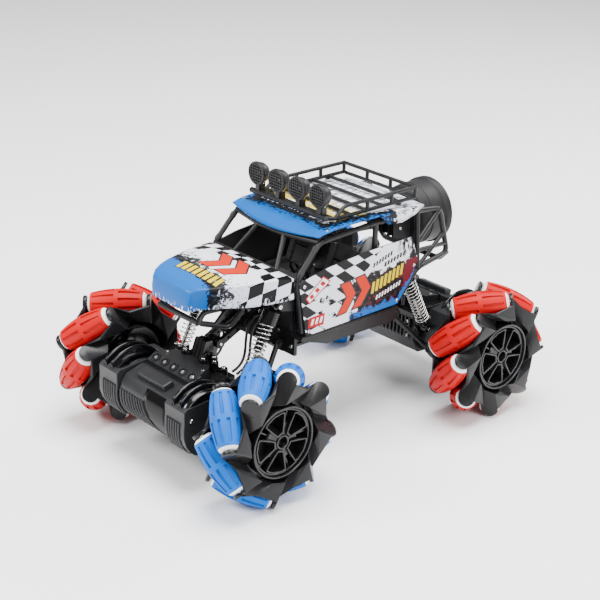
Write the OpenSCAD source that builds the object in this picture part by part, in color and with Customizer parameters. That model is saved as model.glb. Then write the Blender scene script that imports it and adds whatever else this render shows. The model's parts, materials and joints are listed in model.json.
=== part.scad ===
// Radio-controlled stunt car with four roller (mecanum) wheels.
// Millimetres. +Z up, the car's front faces -Y, its left side is +X.
// The origin is on the ground, in the middle of the four wheels.

/* [Layout] */
// Distance between the front and rear wheel axes
wheelbase = 260; // [250:1:270]
// Distance between the middle planes of the left and right wheels
track = 201; // [199:1:206]
// Height of the upper deck of the chassis
deck_z = 108; // [107:1:109]

/* [Wheels] */
// Radius of the circle that the rollers touch the ground on
wheel_r = 60; // [59.5:0.5:61]
// Radius of the circle that carries the roller pins
pin_circle_r = 47.2; // [47:0.1:47.6]
// Angle between a roller pin and the wheel axis
roller_angle = 48; // [45:1:48]
// Half the length of a roller
roller_half = 26; // [24:0.5:26]
// Number of rollers on a wheel
rollers = 8; // [8]
// Radius of the raised ring on the wheel face
hub_ring_r = 31; // [30:0.5:32]
// Turn of the front left wheel
phase_fl = 15; // [0:1:44]
// Turn of the front right wheel
phase_fr = 4; // [0:1:44]
// Turn of the rear left wheel
phase_rl = 14; // [0:1:44]
// Turn of the rear right wheel
phase_rr = 30; // [0:1:44]

/* [Suspension] */
// Coil-over spring diameter
spring_d = 14; // [13:0.5:15]
// Distance of the coil-overs from the middle of the car
shock_x = 44; // [43:0.5:45]

/* [Body] */
// Half the width of the cabin over the side panels
cabin_x = 60; // [59:0.5:61]
// Thickness of the printed body shells
shell_t = 1.6; // [1.4:0.1:2]
// Radius of the tubes of the roll cage
tube_r = 2.5; // [2.2:0.1:2.8]
// Radius of the rods of the roof rack
rack_r = 1.7; // [1.5:0.1:2]
// Radius of a roof lamp
lamp_r = 10.5; // [10:0.5:11]
// Outer radius of the rear nozzle
nozzle_r = 31; // [29:1:32]

/* [Hidden] */
AXLE_NODES = ["axle_housing", "motors", "upper_arm", "lower_links", "shock_bodies",
              "shock_rods", "springs"];
ENDS = ["front", "rear"];
CORNERS = ["fl", "fr", "rl", "rr"];
$fn = 48;

// Frame of the car
axle_y = wheelbase / 2;
wheel_x = track / 2;
phases = [phase_fl, phase_fr, phase_rl, phase_rr];

bar_sides = 12;       // sides of a moulded rod

// Running fits
pin_r = 1.5;          // small pivot pins
pin_fit = 0.05;       // pin in a closed pivot
open_fit = 0.3;       // pin in a pivot that the joint tree leaves open
shaft_r = 3;          // motor output shafts

// Suspension pivots of the front axle, as [y, z]
arm_top = [-62, 118];
arm_end = [-104, 98];
link_top = [-63, 97];
link_end = [-106, 50];
shock_top = [-74.5, 138];
shock_end = [-110.5, 67];
link_top_x = 35;
link_end_x = 55;
shock_run = shock_end - shock_top;
shock_len = norm(shock_run);
shock_lean = atan2(-shock_run[0], -shock_run[1]);

black = "#17181a";
charcoal = "#2c2d2f";
blue = "#0f86ea";
red = "#e5252b";

// ---------- helpers ----------

// A straight rod between two points, with cut ends
module rod(a, b, r) {
    d = b - a;
    h = norm(d);
    translate(a)
        rotate([0, acos(d[2] / h), atan2(d[1], d[0])])
            cylinder(h = h, r = r);
}

// Moulded rods with round ends along a list of points
module bar(points, r) {
    for (i = [0:len(points) - 2]) hull() {
        translate(points[i]) sphere(r = r, $fn = bar_sides);
        translate(points[i + 1]) sphere(r = r, $fn = bar_sides);
    }
}

function mix3(a, b, t) = a * (1 - t) + b * t;
function mirror_x(p) = [-p[0], p[1], p[2]];

// The same shape on both sides of the car
module both_sides() {
    children();
    mirror([1, 0, 0]) children();
}

// Puts a front-axle shape at either end of the car
module at_end(i) {
    rotate([0, 0, i == 0 ? 0 : 180]) children();
}

// A box given by its low and high corners
module block(lo, hi) {
    translate(lo) cube(hi - lo);
}

// A plate with a side outline given as [y, z] points, between two x values
module side_plate(points, x0, x1) {
    translate([x0, 0, 0])
        rotate([90, 0, 90]) linear_extrude(x1 - x0) polygon(points);
}

// A cylinder along X, centred on x
module x_pin(x, yz, r, len) {
    translate([x - len / 2, yz[0], yz[1]]) rotate([0, 90, 0]) cylinder(h = len, r = r);
}

// A thin open shell through cross-sections: each section is a list of points with the same count
module loft_shell(outer, inner) {
    n = len(outer[0]);
    m = len(outer);
    o = function(i, j) i * n + j;
    p = function(i, j) m * n + i * n + j;
    polyhedron(
        points = concat([for (s = outer, q = s) q], [for (s = inner, q = s) q]),
        faces = concat(
            [for (i = [0:m - 2], j = [0:n - 2]) [o(i, j), o(i + 1, j), o(i + 1, j + 1)]],
            [for (i = [0:m - 2], j = [0:n - 2]) [o(i, j), o(i + 1, j + 1), o(i, j + 1)]],
            [for (i = [0:m - 2], j = [0:n - 2]) [p(i, j), p(i + 1, j + 1), p(i + 1, j)]],
            [for (i = [0:m - 2], j = [0:n - 2]) [p(i, j), p(i, j + 1), p(i + 1, j + 1)]],
            [for (i = [0:m - 2]) [o(i, 0), p(i, 0), p(i + 1, 0)]],
            [for (i = [0:m - 2]) [o(i, 0), p(i + 1, 0), o(i + 1, 0)]],
            [for (i = [0:m - 2]) [o(i, n - 1), p(i + 1, n - 1), p(i, n - 1)]],
            [for (i = [0:m - 2]) [o(i, n - 1), o(i + 1, n - 1), p(i + 1, n - 1)]],
            [for (j = [0:n - 2]) [o(0, j), o(0, j + 1), p(0, j + 1)]],
            [for (j = [0:n - 2]) [o(0, j), p(0, j + 1), p(0, j)]],
            [for (j = [0:n - 2]) [o(m - 1, j), p(m - 1, j + 1), o(m - 1, j + 1)]],
            [for (j = [0:n - 2]) [o(m - 1, j), p(m - 1, j), p(m - 1, j + 1)]]));
}

// ---------- wheels ----------

// Puts a left-hand outboard-facing wheel shape at a corner of the car
module at_corner(i) {
    mirror([i % 2, 0, 0])
        translate([wheel_x, i < 2 ? -axle_y : axle_y, wheel_r]) children();
}

// Front wheels lean their rollers one way and rear wheels the other
function lean(i) = i < 2 ? 1 : -1;

// Places a shape drawn along Z on the pin of roller k of a wheel
module on_pin(k, phase, side) {
    rotate([phase + k * 360 / rollers, 0, 0])
        translate([0, pin_circle_r, 0])
            rotate([0, 90 - side * roller_angle, 0]) children();
}

// Radius of a roller at the distance s from its middle, so that all rollers touch one circle
function roller_r(s) = wheel_r - norm([pin_circle_r, s * sin(roller_angle)]);

sleeve_half = roller_half - 2.5;
cap_r = 6.2;
sleeve_steps = 8;
sleeve_profile = [for (i = [-sleeve_steps:sleeve_steps])
    [roller_r(i * sleeve_half / sleeve_steps), i * sleeve_half / sleeve_steps]];

module roller(i, k) {
    color(i == 0 || i == 3 ? blue : red)
        at_corner(i) on_pin(k, phases[i], lean(i))
            difference() {
                rotate_extrude()
                    polygon(concat([[0, -roller_half], [cap_r, -roller_half]], sleeve_profile,
                                   [[cap_r, roller_half], [0, roller_half]]));
                translate([0, 0, -roller_half - 1])
                    cylinder(h = 2 * roller_half + 2, r = pin_r + pin_fit);
            }
}

hub_drum_r = 31;
hub_half = 19.5;      // half the distance over the two lobed discs
disc_t = 4.5;
disc_r = 46;
tongue_r = 7.5;
tongue_gap = 0.6;
tongue_t = 3.2;
ring_x = 22.3;        // how far the face ring stands out of the wheel's middle plane
ring_w = 2.6;
roller_room = 0.9;    // air around each roller in the hub
spokes = 5;

// The space that a turning roller needs
module roller_space() {
    step = roller_half / 3;
    rotate_extrude()
        polygon(concat([[0, -roller_half - roller_room / 2]],
                       [for (s = [-roller_half - roller_room / 2, -2 * step, -step, 0, step,
                                  2 * step, roller_half + roller_room / 2])
                           [roller_r(s) + roller_room, s]],
                       [[0, roller_half + roller_room / 2]]));
}

module hub(i) {
    phase = phases[i];
    side = lean(i);
    color(charcoal) at_corner(i) {
        difference() {
            rotate([0, 90, 0]) {
                translate([0, 0, -hub_half]) cylinder(h = disc_t, r = disc_r);
                translate([0, 0, -hub_half + 1]) cylinder(h = 2 * hub_half - 2, r = hub_drum_r);
                translate([0, 0, hub_half - disc_t]) cylinder(h = disc_t, r = disc_r);
                translate([0, 0, 0]) cylinder(h = ring_x, r = hub_ring_r);
            }
            rotate([0, 90, 0]) {
                translate([0, 0, ring_x - 9]) cylinder(h = 10, r = hub_ring_r - ring_w);
                translate([0, 0, -hub_half - 1]) cylinder(h = 70, r = shaft_r + pin_fit);
                translate([0, 0, -hub_half - 1]) cylinder(h = 10, r = 17);
            }
            for (k = [1:rollers]) on_pin(k, phase, side) roller_space();
        }
        // face insert: boss and five spokes
        difference() {
            rotate([0, 90, 0]) {
                translate([0, 0, 10]) cylinder(h = ring_x - 11, r = 7);
                for (s = [0:spokes - 1])
                    rotate([0, 0, s * 360 / spokes])
                        translate([-2, 0, 12]) cube([4, hub_ring_r - ring_w + 1, ring_x - 13.5]);
            }
            rotate([0, 90, 0]) translate([0, 0, 5]) cylinder(h = 30, r = shaft_r + pin_fit);
        }
        // arms and pins of the rollers
        for (k = [1:rollers]) on_pin(k, phase, side) {
            cylinder(h = 2 * (roller_half + tongue_t), r = pin_r, center = true);
            for (end = [0, 1]) mirror([0, 0, end])
                translate([0, 0, roller_half + tongue_gap]) cylinder(h = tongue_t, r = tongue_r);
        }
    }
}

// ---------- axles ----------

// Side outline of the axle housing as [y, z] from the wheel axis
housing_mid = [[-47, -14], [-49, 7], [-43, 16], [-25, 21], [-21, 23], [-12, 28], [12, 28],
               [26, 18], [28, -8], [16, -24], [-30, -24]];
housing_end = [[-51, -13], [-51, 17], [-48, 19.5], [-14, 22], [6, 20], [14, 10], [15, -10],
               [8, -22], [-32, -27], [-43, -22]];
can_yz = [-27, 0];    // motor cans sit in front of the wheel axis
can_r = 28;
motor_r = 23;
fin_r = 33;
housing_x = 60;
housing_mid_x = 33;

module axle_frame(i) {
    at_end(i) translate([0, -axle_y, wheel_r]) children();
}

// Motor with its gearbox; grow widens it for the pocket in the housing
module motor_body(grow) {
    x_pin(47.5 + grow * 4, can_yz, motor_r + grow, 23 + grow * 8);
    block([36 - grow, -12 - grow, -9 - grow], [45 + grow, 9 + grow, 9 + grow]);
}

module axle_housing(i) {
    color(black) axle_frame(i) {
        difference() {
            union() {
                side_plate(housing_mid, -housing_mid_x, housing_mid_x);
                both_sides() side_plate(housing_end, housing_mid_x - 0.5, housing_x);
                // finned motor covers
                both_sides() intersection() {
                    union() {
                        x_pin(48, can_yz, can_r, 22);
                        for (x = [43, 52]) x_pin(x, can_yz, fin_r, 2);
                    }
                    block([30, -50, -12], [70, 40, 40]);
                }
                // raised pad on the sloping top
                translate([0, -35, 18.5]) rotate([15, 0, 0])
                    translate([-19, -5, -3]) cube([38, 10, 5.5]);
                // axle tubes out to the wheels
                both_sides() x_pin(66, [0, 0], 13, 16);
                both_sides() x_pin(75, [0, 0], 8, 6);
                // tower for the upper arm, with an ear behind it
                side_plate([[4, 24], [8, 32], [12, 43], [19, 43], [21, 34], [24, 18]], -7.5, 7.5);
                side_plate([[12, 30], [14, 41], [24, 44], [29, 42], [30, 37], [24, 24], [22, 14]],
                           -4.2, 4.2);
                // lugs for the lower links and the coil-overs
                both_sides() side_plate([[12, -18], [26, -16], [29, -10], [24, -4], [12, -4]],
                                        link_end_x + 2.8, link_end_x + 6);
                both_sides() side_plate([[12, -4], [12, 12], [22, 12], [26, 7], [22, 0]],
                                        shock_x - 9, shock_x - 6);
            }
            // the motors sit in pockets that are open towards the wheels
            both_sides() motor_body(0.4);
            both_sides() x_pin(60, [0, 0], shaft_r + 1, 60);
            // row of six-sided holes along the top strip
            for (k = [-2:2])
                translate([k * 12.8, -15.5, 20]) rotate([30, 0, 0])
                    cylinder(h = 12, r = 2.8, $fn = 6);
            // ribs across the front
            for (z = [-10:3:4]) block([-31, -52, z], [6, -47.2, z + 1.4]);
        }
        // pivot pins
        x_pin(0, arm_end - [-axle_y, wheel_r], pin_r, 20);
        both_sides() x_pin(link_end_x + 1, link_end - [-axle_y, wheel_r], pin_r, 9);
        both_sides() x_pin(shock_x - 1, shock_end - [-axle_y, wheel_r], pin_r, 14);
    }
}

module motors(i) {
    color("silver") axle_frame(i) both_sides() {
        motor_body(0);
        x_pin(77, [0, 0], shaft_r, 66);
    }
}

// ---------- suspension ----------

arm_x = 7;            // middle of each bar of the upper arm
arm_t = 4.5;

module upper_arm(i) {
    color(black) at_end(i) {
        // two perforated bars with an eye at each end, joined by two cross pieces
        difference() {
            union() {
                both_sides() {
                    x_pin(arm_x, arm_top, 4.2, arm_t);
                    x_pin(arm_x, arm_end, 4.2, arm_t);
                    side_plate([arm_top + [0, 3], arm_top - [0, 3], arm_end - [0, 3],
                                arm_end + [0, 3]], arm_x - arm_t / 2, arm_x + arm_t / 2);
                }
                for (t = [0.32, 0.68]) x_pin(0, arm_top * (1 - t) + arm_end * t, 2.2, 2 * arm_x);
            }
            both_sides() {
                x_pin(arm_x, arm_top, pin_r + pin_fit, 20);
                x_pin(arm_x, arm_end, pin_r + pin_fit, 20);
                for (t = [0.2, 0.44, 0.56, 0.8])
                    x_pin(arm_x, arm_top * (1 - t) + arm_end * t, 1.3, 20);
            }
        }
    }
}

module lower_links(i) {
    color(black) at_end(i) both_sides()
        difference() {
            union() {
                x_pin(link_top_x, link_top, 4, 5.4);
                x_pin(link_end_x, link_end, 4, 5);
                rod([link_top_x, link_top[0], link_top[1]], [link_end_x, link_end[0], link_end[1]],
                    2.4);
            }
            x_pin(link_top_x, link_top, pin_r + pin_fit, 20);
            x_pin(link_end_x, link_end, pin_r + open_fit, 20);
        }
}

// Draws a coil-over piece along Z, with 0 at the upper eye and -shock_len at the lower one
module on_shock() {
    both_sides() translate([shock_x, shock_top[0], shock_top[1]])
        rotate([-shock_lean, 0, 0]) children();
}

cap_len = 13;         // ribbed cap at the top of a coil-over
seat_gap = 10;        // from the lower eye to the lower spring seat
spring_top = 4 + cap_len;
tube_len = 42;

module shock_bodies(i) {
    color(black) at_end(i) on_shock()
        difference() {
            union() {
                rotate([0, 90, 0]) translate([0, 0, -3]) cylinder(h = 6, r = 4);
                translate([0, 0, -5]) cylinder(h = 3, r = 2.6);
                translate([0, 0, -spring_top]) cylinder(h = cap_len, r = spring_d / 2 + 1);
                translate([0, 0, -tube_len]) cylinder(h = tube_len - 6, r = 3.6);
            }
            rotate([0, 90, 0]) translate([0, 0, -10]) cylinder(h = 20, r = pin_r + pin_fit);
            translate([0, 0, -tube_len - 1]) cylinder(h = tube_len - 8, r = 1.8);
        }
}

module shock_rods(i) {
    color("silver") at_end(i) on_shock()
        difference() {
            union() {
                translate([0, 0, -shock_len]) rotate([0, 90, 0]) translate([0, 0, -3])
                    cylinder(h = 6, r = 4);
                translate([0, 0, -shock_len + 3]) cylinder(h = seat_gap - 3, r = 2.6);
                translate([0, 0, -shock_len + seat_gap]) cylinder(h = 2, r = spring_d / 2 + 0.5);
                translate([0, 0, -shock_len + seat_gap]) cylinder(h = 40, r = 1.7);
            }
            translate([0, 0, -shock_len]) rotate([0, 90, 0]) translate([0, 0, -10])
                cylinder(h = 20, r = pin_r + open_fit);
        }
}

module springs(i) {
    low = -shock_len + seat_gap + 2;
    color("silver") at_end(i) on_shock()
        difference() {
            translate([0, 0, low]) cylinder(h = -spring_top - low, r = spring_d / 2);
            translate([0, 0, low - 1]) cylinder(h = 80, r = spring_d / 2 - 1.8);
        }
}

// Route of the leads that hang between the chassis and the front axle, as [y, z]
lead_points = [[-59, 113], [-65, 116.5], [-72, 116], [-77.5, 112], [-80.5, 105], [-81.5, 96],
               [-82, 87], [-84.5, 79], [-90, 74], [-96, 72]];
lead_places = [15, 21];
lead_r = 1.3;
lead_sides = 8;

// Direction of a route at one of its points
function heading(points, i) =
    let (d = points[min(i + 1, len(points) - 1)] - points[max(i - 1, 0)]) d / norm(d);

// A tube swept along a route at one x value
module lead_tube(points, x) {
    last = len(points) - 1;
    rings = [for (i = [0:last], j = [0:lead_sides - 1])
        let (t = heading(points, i), a = j * 360 / lead_sides)
        [x + lead_r * cos(a), points[i][0] - lead_r * sin(a) * t[1],
         points[i][1] + lead_r * sin(a) * t[0]]];
    at = function(i, j) i * lead_sides + j % lead_sides;
    polyhedron(points = rings, faces = concat(
        [for (i = [0:last - 1], j = [0:lead_sides - 1])
            [at(i, j), at(i, j + 1), at(i + 1, j + 1), at(i + 1, j)]],
        [[for (j = [lead_sides - 1:-1:0]) at(0, j)]],
        [[for (j = [0:lead_sides - 1]) at(last, j)]]));
}

module motor_leads() {
    color(black) both_sides() for (x = lead_places) lead_tube(lead_points, x);
}

// ---------- chassis ----------

tub_x = 36;
tub_y = 58;
tub_z = 88;
wall = 2.5;
sill = [[-58, deck_z - 3], [-56, deck_z], [56, deck_z], [60, 101], [52, 95], [-28, 95]];
tower_y = 54;         // inner face of the cross plates at both ends
tower_t = 3.2;

module chassis() {
    color(black) {
        difference() {
            union() {
                block([-tub_x, -tub_y, tub_z], [tub_x, tub_y, deck_z]);
                both_sides() side_plate(sill, tub_x - 1, cabin_x - 1);
            }
            block([-tub_x + wall, -tower_y + wall, tub_z + wall],
                  [tub_x - wall, tower_y - wall, deck_z + 1]);
        }
        for (i = [0, 1]) at_end(i) {
            // cross plate that carries the arm, the links and the coil-overs
            side_plate([[-tower_y - tower_t, tub_z], [-tower_y - tower_t, 142], [-tower_y, 142],
                        [-tower_y, tub_z]], -50, 50);
            side_plate([[-56, 108], [-64, 113], [-66.5, 118], [-64, 122.5], [-56, 128]], -4.2, 4.2);
            both_sides() side_plate([[-56, 90], [-64, 92], [-67, 97], [-64, 101], [-56, 103]],
                                    link_top_x - 6.5, link_top_x - 3.5);
            both_sides() side_plate([[-56, 130], [-72, 133.5], [-78, 138], [-75, 142], [-56, 142]],
                                    shock_x + 4, shock_x + 7);
            // pivot pins
            x_pin(0, arm_top, pin_r, 20);
            both_sides() x_pin(link_top_x - 1, link_top, pin_r, 10);
            both_sides() x_pin(shock_x + 1, shock_top, pin_r, 10);
        }
    }
}

module battery() {
    color("#3a6ea8") block([-22, -46, tub_z + wall], [22, 46, deck_z - 2]);
}

// ---------- roll cage ----------

cage_x = 55.2;        // tubes beside the doors
foot_z = deck_z + tube_r + 0.2;
sill_bar = [cage_x, -60.5, 160];
visor_bar = [54, -36, 187];
roof_bar = [53, 30, 190];
tail_top = [46, 88, 187];
tail_rear = [45, 118, 183];
tail_low = [45, 131, 138];
tail_root = [cage_x, 82, 137];

module roll_cage() {
    color(black) {
        both_sides() {
            // front pillar, roof rail and rear frame
            bar([[cage_x, -54.5, foot_z], sill_bar, visor_bar, roof_bar, tail_top, tail_rear,
                 tail_low, tail_root, [54, 60, foot_z + 1]], tube_r);
            // middle pillar
            bar([[cage_x, 28, foot_z], roof_bar], tube_r);
            // diagonals of the rear frame
            bar([tail_top, tail_root], tube_r);
            bar([mix3(tail_root, tail_top, 0.45), tail_rear], tube_r);
            bar([tail_root, mix3(tail_low, tail_rear, 0.45)], tube_r * 0.8);
            bar([mix3(tail_root, tail_top, 0.3), mix3(tail_low, tail_rear, 0.2)], tube_r * 0.8);
            // windscreen posts
            bar([[28.6, -60.5, 160], [17, -42, 185.5]], tube_r * 0.9);
            // front frame and bumper hoop
            bar([[30, -60.5, 160], [30, -60, 138]], tube_r);
            bar([[30, -60, 138], [24, -134, 140], [26, -141, 133], [33, -114, 125],
                 [38, -104, 139]], tube_r);
            bar([[30, -126, 129], [28, -112, 139.4]], tube_r * 0.9);
            bar([[28, -104, 139], [38, -104, 139]], tube_r);
        }
        bar([[-26, -141, 133], [26, -141, 133]], tube_r);
        bar([mirror_x(visor_bar), [-17, -42, 185.5], [17, -42, 185.5], visor_bar], tube_r);
        for (p = [sill_bar, roof_bar, tail_top]) bar([mirror_x(p), p], tube_r);
        bar([mirror_x(tail_low), [-36, 131, 129], [36, 131, 129], tail_low], tube_r);
    }
}

// ---------- body panels ----------

// Hood sections from the windscreen to the nose: y, half width and height of the lower edge,
// half width and height of the shoulder, height of the crown, forward bow at the crown
hood_stations = [[-64.5, 56.5, 144.5, 55.5, 162, 163.5, 0], [-75, 53.5, 143.3, 53, 163, 165, 0],
                 [-90, 49.5, 143, 50, 163.5, 166.5, 0], [-105, 45.5, 143.5, 46, 163.7, 167, 0],
                 [-120, 38.5, 144.5, 41.5, 163.7, 167, 1], [-132, 33, 145, 36, 163.5, 166.5, 2],
                 [-141, 28, 145, 30, 162.8, 165.5, 3], [-146, 25, 144, 25.5, 160, 162.5, 4],
                 [-147.5, 24.5, 143, 25, 152, 153, 4], [-147.2, 24.3, 142.6, 24.3, 144, 144.2, 4]];
hood_points = 22;
flank = 0.36;         // share of a section that is the side wall

function mix(a, b, t) = a + (b - a) * t;

// One section from the right lower edge over the crown to the left lower edge
function hood_section(i, inset) = [for (j = [0:hood_points])
    let (s = hood_stations[i], last = len(hood_stations) - 1,
         t = j / hood_points * 2 - 1, a = abs(t),
         wall_t = max(0, (a - 1 + flank) / flank), top_t = min(1, a / (1 - flank)),
         x = a > 1 - flank ? mix(s[3], s[1], wall_t) : s[3] * sin(90 * top_t) ^ 1.05,
         z = a > 1 - flank ? mix(s[4], s[2], wall_t) : mix(s[4], s[5], cos(90 * top_t)),
         drop = i == last || a > 1 - flank ? 0 : inset,
         back = i > last - 4 ? inset : 0)
    [sign(t) * (x - inset), s[0] - s[6] * cos(90 * a) + back, z - drop]];

module hood() {
    last = len(hood_stations) - 1;
    color(blue) loft_shell([for (i = [0:last]) hood_section(i, 0)],
                           [for (i = [0:last]) hood_section(i, shell_t)]);
}

// Side outline of a door panel as [y, z]
panel = [[-53, 109], [-62, 158], [-50, 161], [-30, 165], [14, 169], [68.5, 170.4],
         [77.7, 147.6], [69, 128.8], [54, 111]];

module side_panels() {
    color("white") both_sides() side_plate(panel, cabin_x - shell_t, cabin_x);
}

// Roof sections from the visor to the tail: y at the middle, y at the edges, half width,
// edge height, crown height, depth of the side flange
roof_stations = [[-47, -39, 57, 193.4, 189.3, 0], [-37, -32, 57.5, 195.2, 196.4, 0],
                 [-24, -22, 57.5, 196.5, 198, 0], [0, 0, 57.5, 197.4, 198.3, 0],
                 [32, 32, 57.3, 197.2, 198.3, 0], [40, 42, 57, 196.4, 198, 9],
                 [60, 60, 55.5, 195, 197.4, 9.5], [76, 77, 53, 193.6, 196.4, 6],
                 [90, 93, 49.5, 192.2, 195, 0.4]];
roof_points = 18;

function roof_section(s, drop) = [for (j = [0:roof_points])
    let (t = j / roof_points * 2 - 1, a = abs(t), edge = a == 1,
         u = min(1, a / 0.9), bow = cos(90 * u))
    [sign(t) * ((edge ? s[2] : (s[2] - 0.5) * u) - (u == 1 ? drop : 0)), mix(s[1], s[0], bow),
     mix(s[3], s[4], bow) - (edge ? s[5] + 0.8 : 0) - (edge ? 0 : drop)]];

module roof_panel() {
    color("white")
        loft_shell([for (s = roof_stations) roof_section(s, 0)],
                   [for (s = roof_stations) roof_section(s, shell_t)]);
}

// ---------- roof rack with the lamp bar ----------

rack_x = 46;
rack_low = 200.4;
rack_top = 209.5;
lamp_pos = [-39.9, -13.3, 13.3, 39.9];
lamp_z = 221.5;
lamp_y = -27;

module roof_rack() {
    color(black) {
        both_sides() {
            bar([[rack_x, -12, rack_low], [rack_x, -1, rack_top], [rack_x, 84, rack_top]], rack_r);
            bar([[rack_x, -12, rack_low], [rack_x, 84, rack_low]], rack_r);
            for (y = [26, 55]) bar([[rack_x, y, rack_low], [rack_x, y, rack_top]], rack_r);
            bar([[rack_x, 84, rack_low], [rack_x, 84, rack_top]], rack_r);
            bar([[15, 84, rack_low], [15, 84, rack_top]], rack_r);
            bar([[rack_x, -24, 204], [rack_x, -12, rack_low]], rack_r);
        }
        bar([[-rack_x, 84, rack_top], [rack_x, 84, rack_top]], rack_r);
        for (y = [-12, 7, 26, 45, 64, 84])
            bar([[-rack_x, y, rack_low], [rack_x, y, rack_low]], rack_r);
        // lamp bar and lamps
        bar([[-49, -24, 204], [49, -24, 204]], tube_r);
        for (x = lamp_pos) {
            translate([x, lamp_y, lamp_z]) rotate([-90, 0, 0]) {
                cylinder(h = 3, r = lamp_r);
                translate([0, 0, 3]) cylinder(h = 9, r1 = lamp_r - 0.5, r2 = 5);
            }
            block([x - 3, -25, 203], [x + 3, -17, lamp_z - 6]);
        }
    }
}

// ---------- cabin and rear ----------

module seat() {
    hull() for (x = [-12, 12], y = [-20, 10]) translate([x, y, 124]) cylinder(h = 10, r = 4, $fn = 24);
    hull() {
        for (x = [-12, 12]) translate([x, 12, 132]) cylinder(h = 2, r = 4, $fn = 24);
        for (x = [-9, 9]) translate([x, 24, 165]) cylinder(h = 2, r = 4, $fn = 24);
    }
    hull() for (x = [-5, 5]) translate([x, 26, 165]) cylinder(h = 11, r = 4, $fn = 24);
}

module seats() {
    color(black) {
        block([-50, -54, deck_z], [50, 54, deck_z + 3]);
        both_sides() translate([25, 0, 0]) seat();
        both_sides() block([14, -20, deck_z + 2], [36, 12, 125]);
        // dashboard
        block([-48, -54, 140], [48, -38, 152]);
        both_sides() block([40, -52, deck_z + 2], [46, -40, 142]);
    }
}

nozzle_y = 114;       // front of the nozzle
nozzle_len = 38;
nozzle_z = 163.5;

module nozzle() {
    color(black) {
        translate([0, nozzle_y, nozzle_z]) rotate([-90, 0, 0]) rotate_extrude()
            polygon([[0, 0], [nozzle_r - 8, 0], [nozzle_r - 3, 4], [nozzle_r - 2, 12],
                     [nozzle_r - 1.5, nozzle_len - 8], [nozzle_r, nozzle_len - 7],
                     [nozzle_r, nozzle_len], [nozzle_r - 4, nozzle_len], [nozzle_r - 6, 20],
                     [12, 9], [0, 9]]);
        block([-12, tail_top[1] + 3, nozzle_z - 10], [12, nozzle_y + 1, nozzle_z + 10]);
    }
}

// ---------- draw ----------

chassis();
battery();
roll_cage();
hood();
side_panels();
roof_panel();
roof_rack();
seats();
nozzle();
motor_leads();
for (i = [0, 1]) {
    axle_housing(i);
    motors(i);
    upper_arm(i);
    lower_links(i);
    shock_bodies(i);
    shock_rods(i);
    springs(i);
}
for (i = [0:3]) {
    hub(i);
    for (k = [1:rollers])
        roller(i, k);
}
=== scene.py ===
"""Looks of a radio-controlled stunt car with roller wheels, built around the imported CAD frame.

Lengths in the modelling code are millimetres in the row frame: +Z up, the front faces -Y, the
car's left is +X. Meshes are scaled to metres when they become objects.
"""
import json
from math import atan2, copysign, cos, degrees, hypot, pi, radians, sin, sqrt, tau

import bmesh
import bpy
from mathutils import Matrix, Vector
from mathutils.bvhtree import BVHTree
from mathutils.geometry import tessellate_polygon


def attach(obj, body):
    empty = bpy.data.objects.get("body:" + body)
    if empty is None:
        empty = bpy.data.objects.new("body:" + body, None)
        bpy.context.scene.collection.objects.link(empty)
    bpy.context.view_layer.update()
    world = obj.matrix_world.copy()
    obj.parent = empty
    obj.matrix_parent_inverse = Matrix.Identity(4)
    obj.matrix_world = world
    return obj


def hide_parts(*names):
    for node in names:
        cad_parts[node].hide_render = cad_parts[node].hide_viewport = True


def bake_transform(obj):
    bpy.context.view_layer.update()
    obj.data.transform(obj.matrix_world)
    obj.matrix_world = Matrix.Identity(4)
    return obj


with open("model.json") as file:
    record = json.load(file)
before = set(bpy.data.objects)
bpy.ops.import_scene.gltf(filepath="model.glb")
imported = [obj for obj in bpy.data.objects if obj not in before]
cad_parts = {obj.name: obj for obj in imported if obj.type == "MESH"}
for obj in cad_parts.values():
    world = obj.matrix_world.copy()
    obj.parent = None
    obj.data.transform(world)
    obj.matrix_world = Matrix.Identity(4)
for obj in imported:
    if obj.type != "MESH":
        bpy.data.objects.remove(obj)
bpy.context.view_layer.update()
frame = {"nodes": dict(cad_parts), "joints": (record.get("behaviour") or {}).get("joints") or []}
MM = 0.001
ENDS = ("front", "rear")
CORNERS = ("fl", "fr", "rl", "rr")


# ---------- camera, floor and light ----------

CAMERA_PLACE = (0.883, -0.7962, 0.6032)
CAMERA_AZIMUTH, CAMERA_ELEVATION, CAMERA_ROLL = (radians(a) for a in (48.2236, 22.5918, 1.441))
FLOOR_HALF = 6.0
# name, place, aim, disk size, power
LIGHTS = (("top", (0.1, 0.1, 2.0), (0, 0, 0), 1.6, 105),
          ("key", (-0.6, -1.3, 1.3), (0, 0, 0.1), 0.7, 36),
          ("fill", (1.5, -0.2, 1.0), (0, 0, 0.1), 1.0, 27),
          ("rim", (0.1, 1.4, 1.1), (0, 0, 0.12), 0.8, 18))


def add_object(name, data):
    thing = bpy.data.objects.new(name, data)
    bpy.context.scene.collection.objects.link(thing)
    return thing


def set_camera():
    """Camera at the photograph's viewing angle."""
    flat = cos(CAMERA_ELEVATION)
    back = Vector((sin(CAMERA_AZIMUTH) * flat, -cos(CAMERA_AZIMUTH) * flat,
                   sin(CAMERA_ELEVATION)))
    right = (-back).cross(Vector((0, 0, 1))).normalized()
    up = right.cross(-back)
    x_axis = right * cos(CAMERA_ROLL) + up * sin(CAMERA_ROLL)
    y_axis = up * cos(CAMERA_ROLL) - right * sin(CAMERA_ROLL)
    data = bpy.data.cameras.new("camera")
    data.lens = 86.78
    data.sensor_width = 36
    data.clip_start = 0.05
    camera = add_object("camera", data)
    camera.matrix_world = Matrix.Translation(CAMERA_PLACE) @ Matrix(
        (x_axis, y_axis, back)).transposed().to_4x4()
    bpy.context.scene.camera = camera


def area_light(name, place, aim, size, power):
    data = bpy.data.lights.new(name, "AREA")
    data.energy = power
    data.shape = "DISK"
    data.size = size
    lamp = add_object(name, data)
    lamp.location = place
    lamp.rotation_euler = (Vector(aim) - Vector(place)).to_track_quat("-Z", "Y").to_euler()


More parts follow.
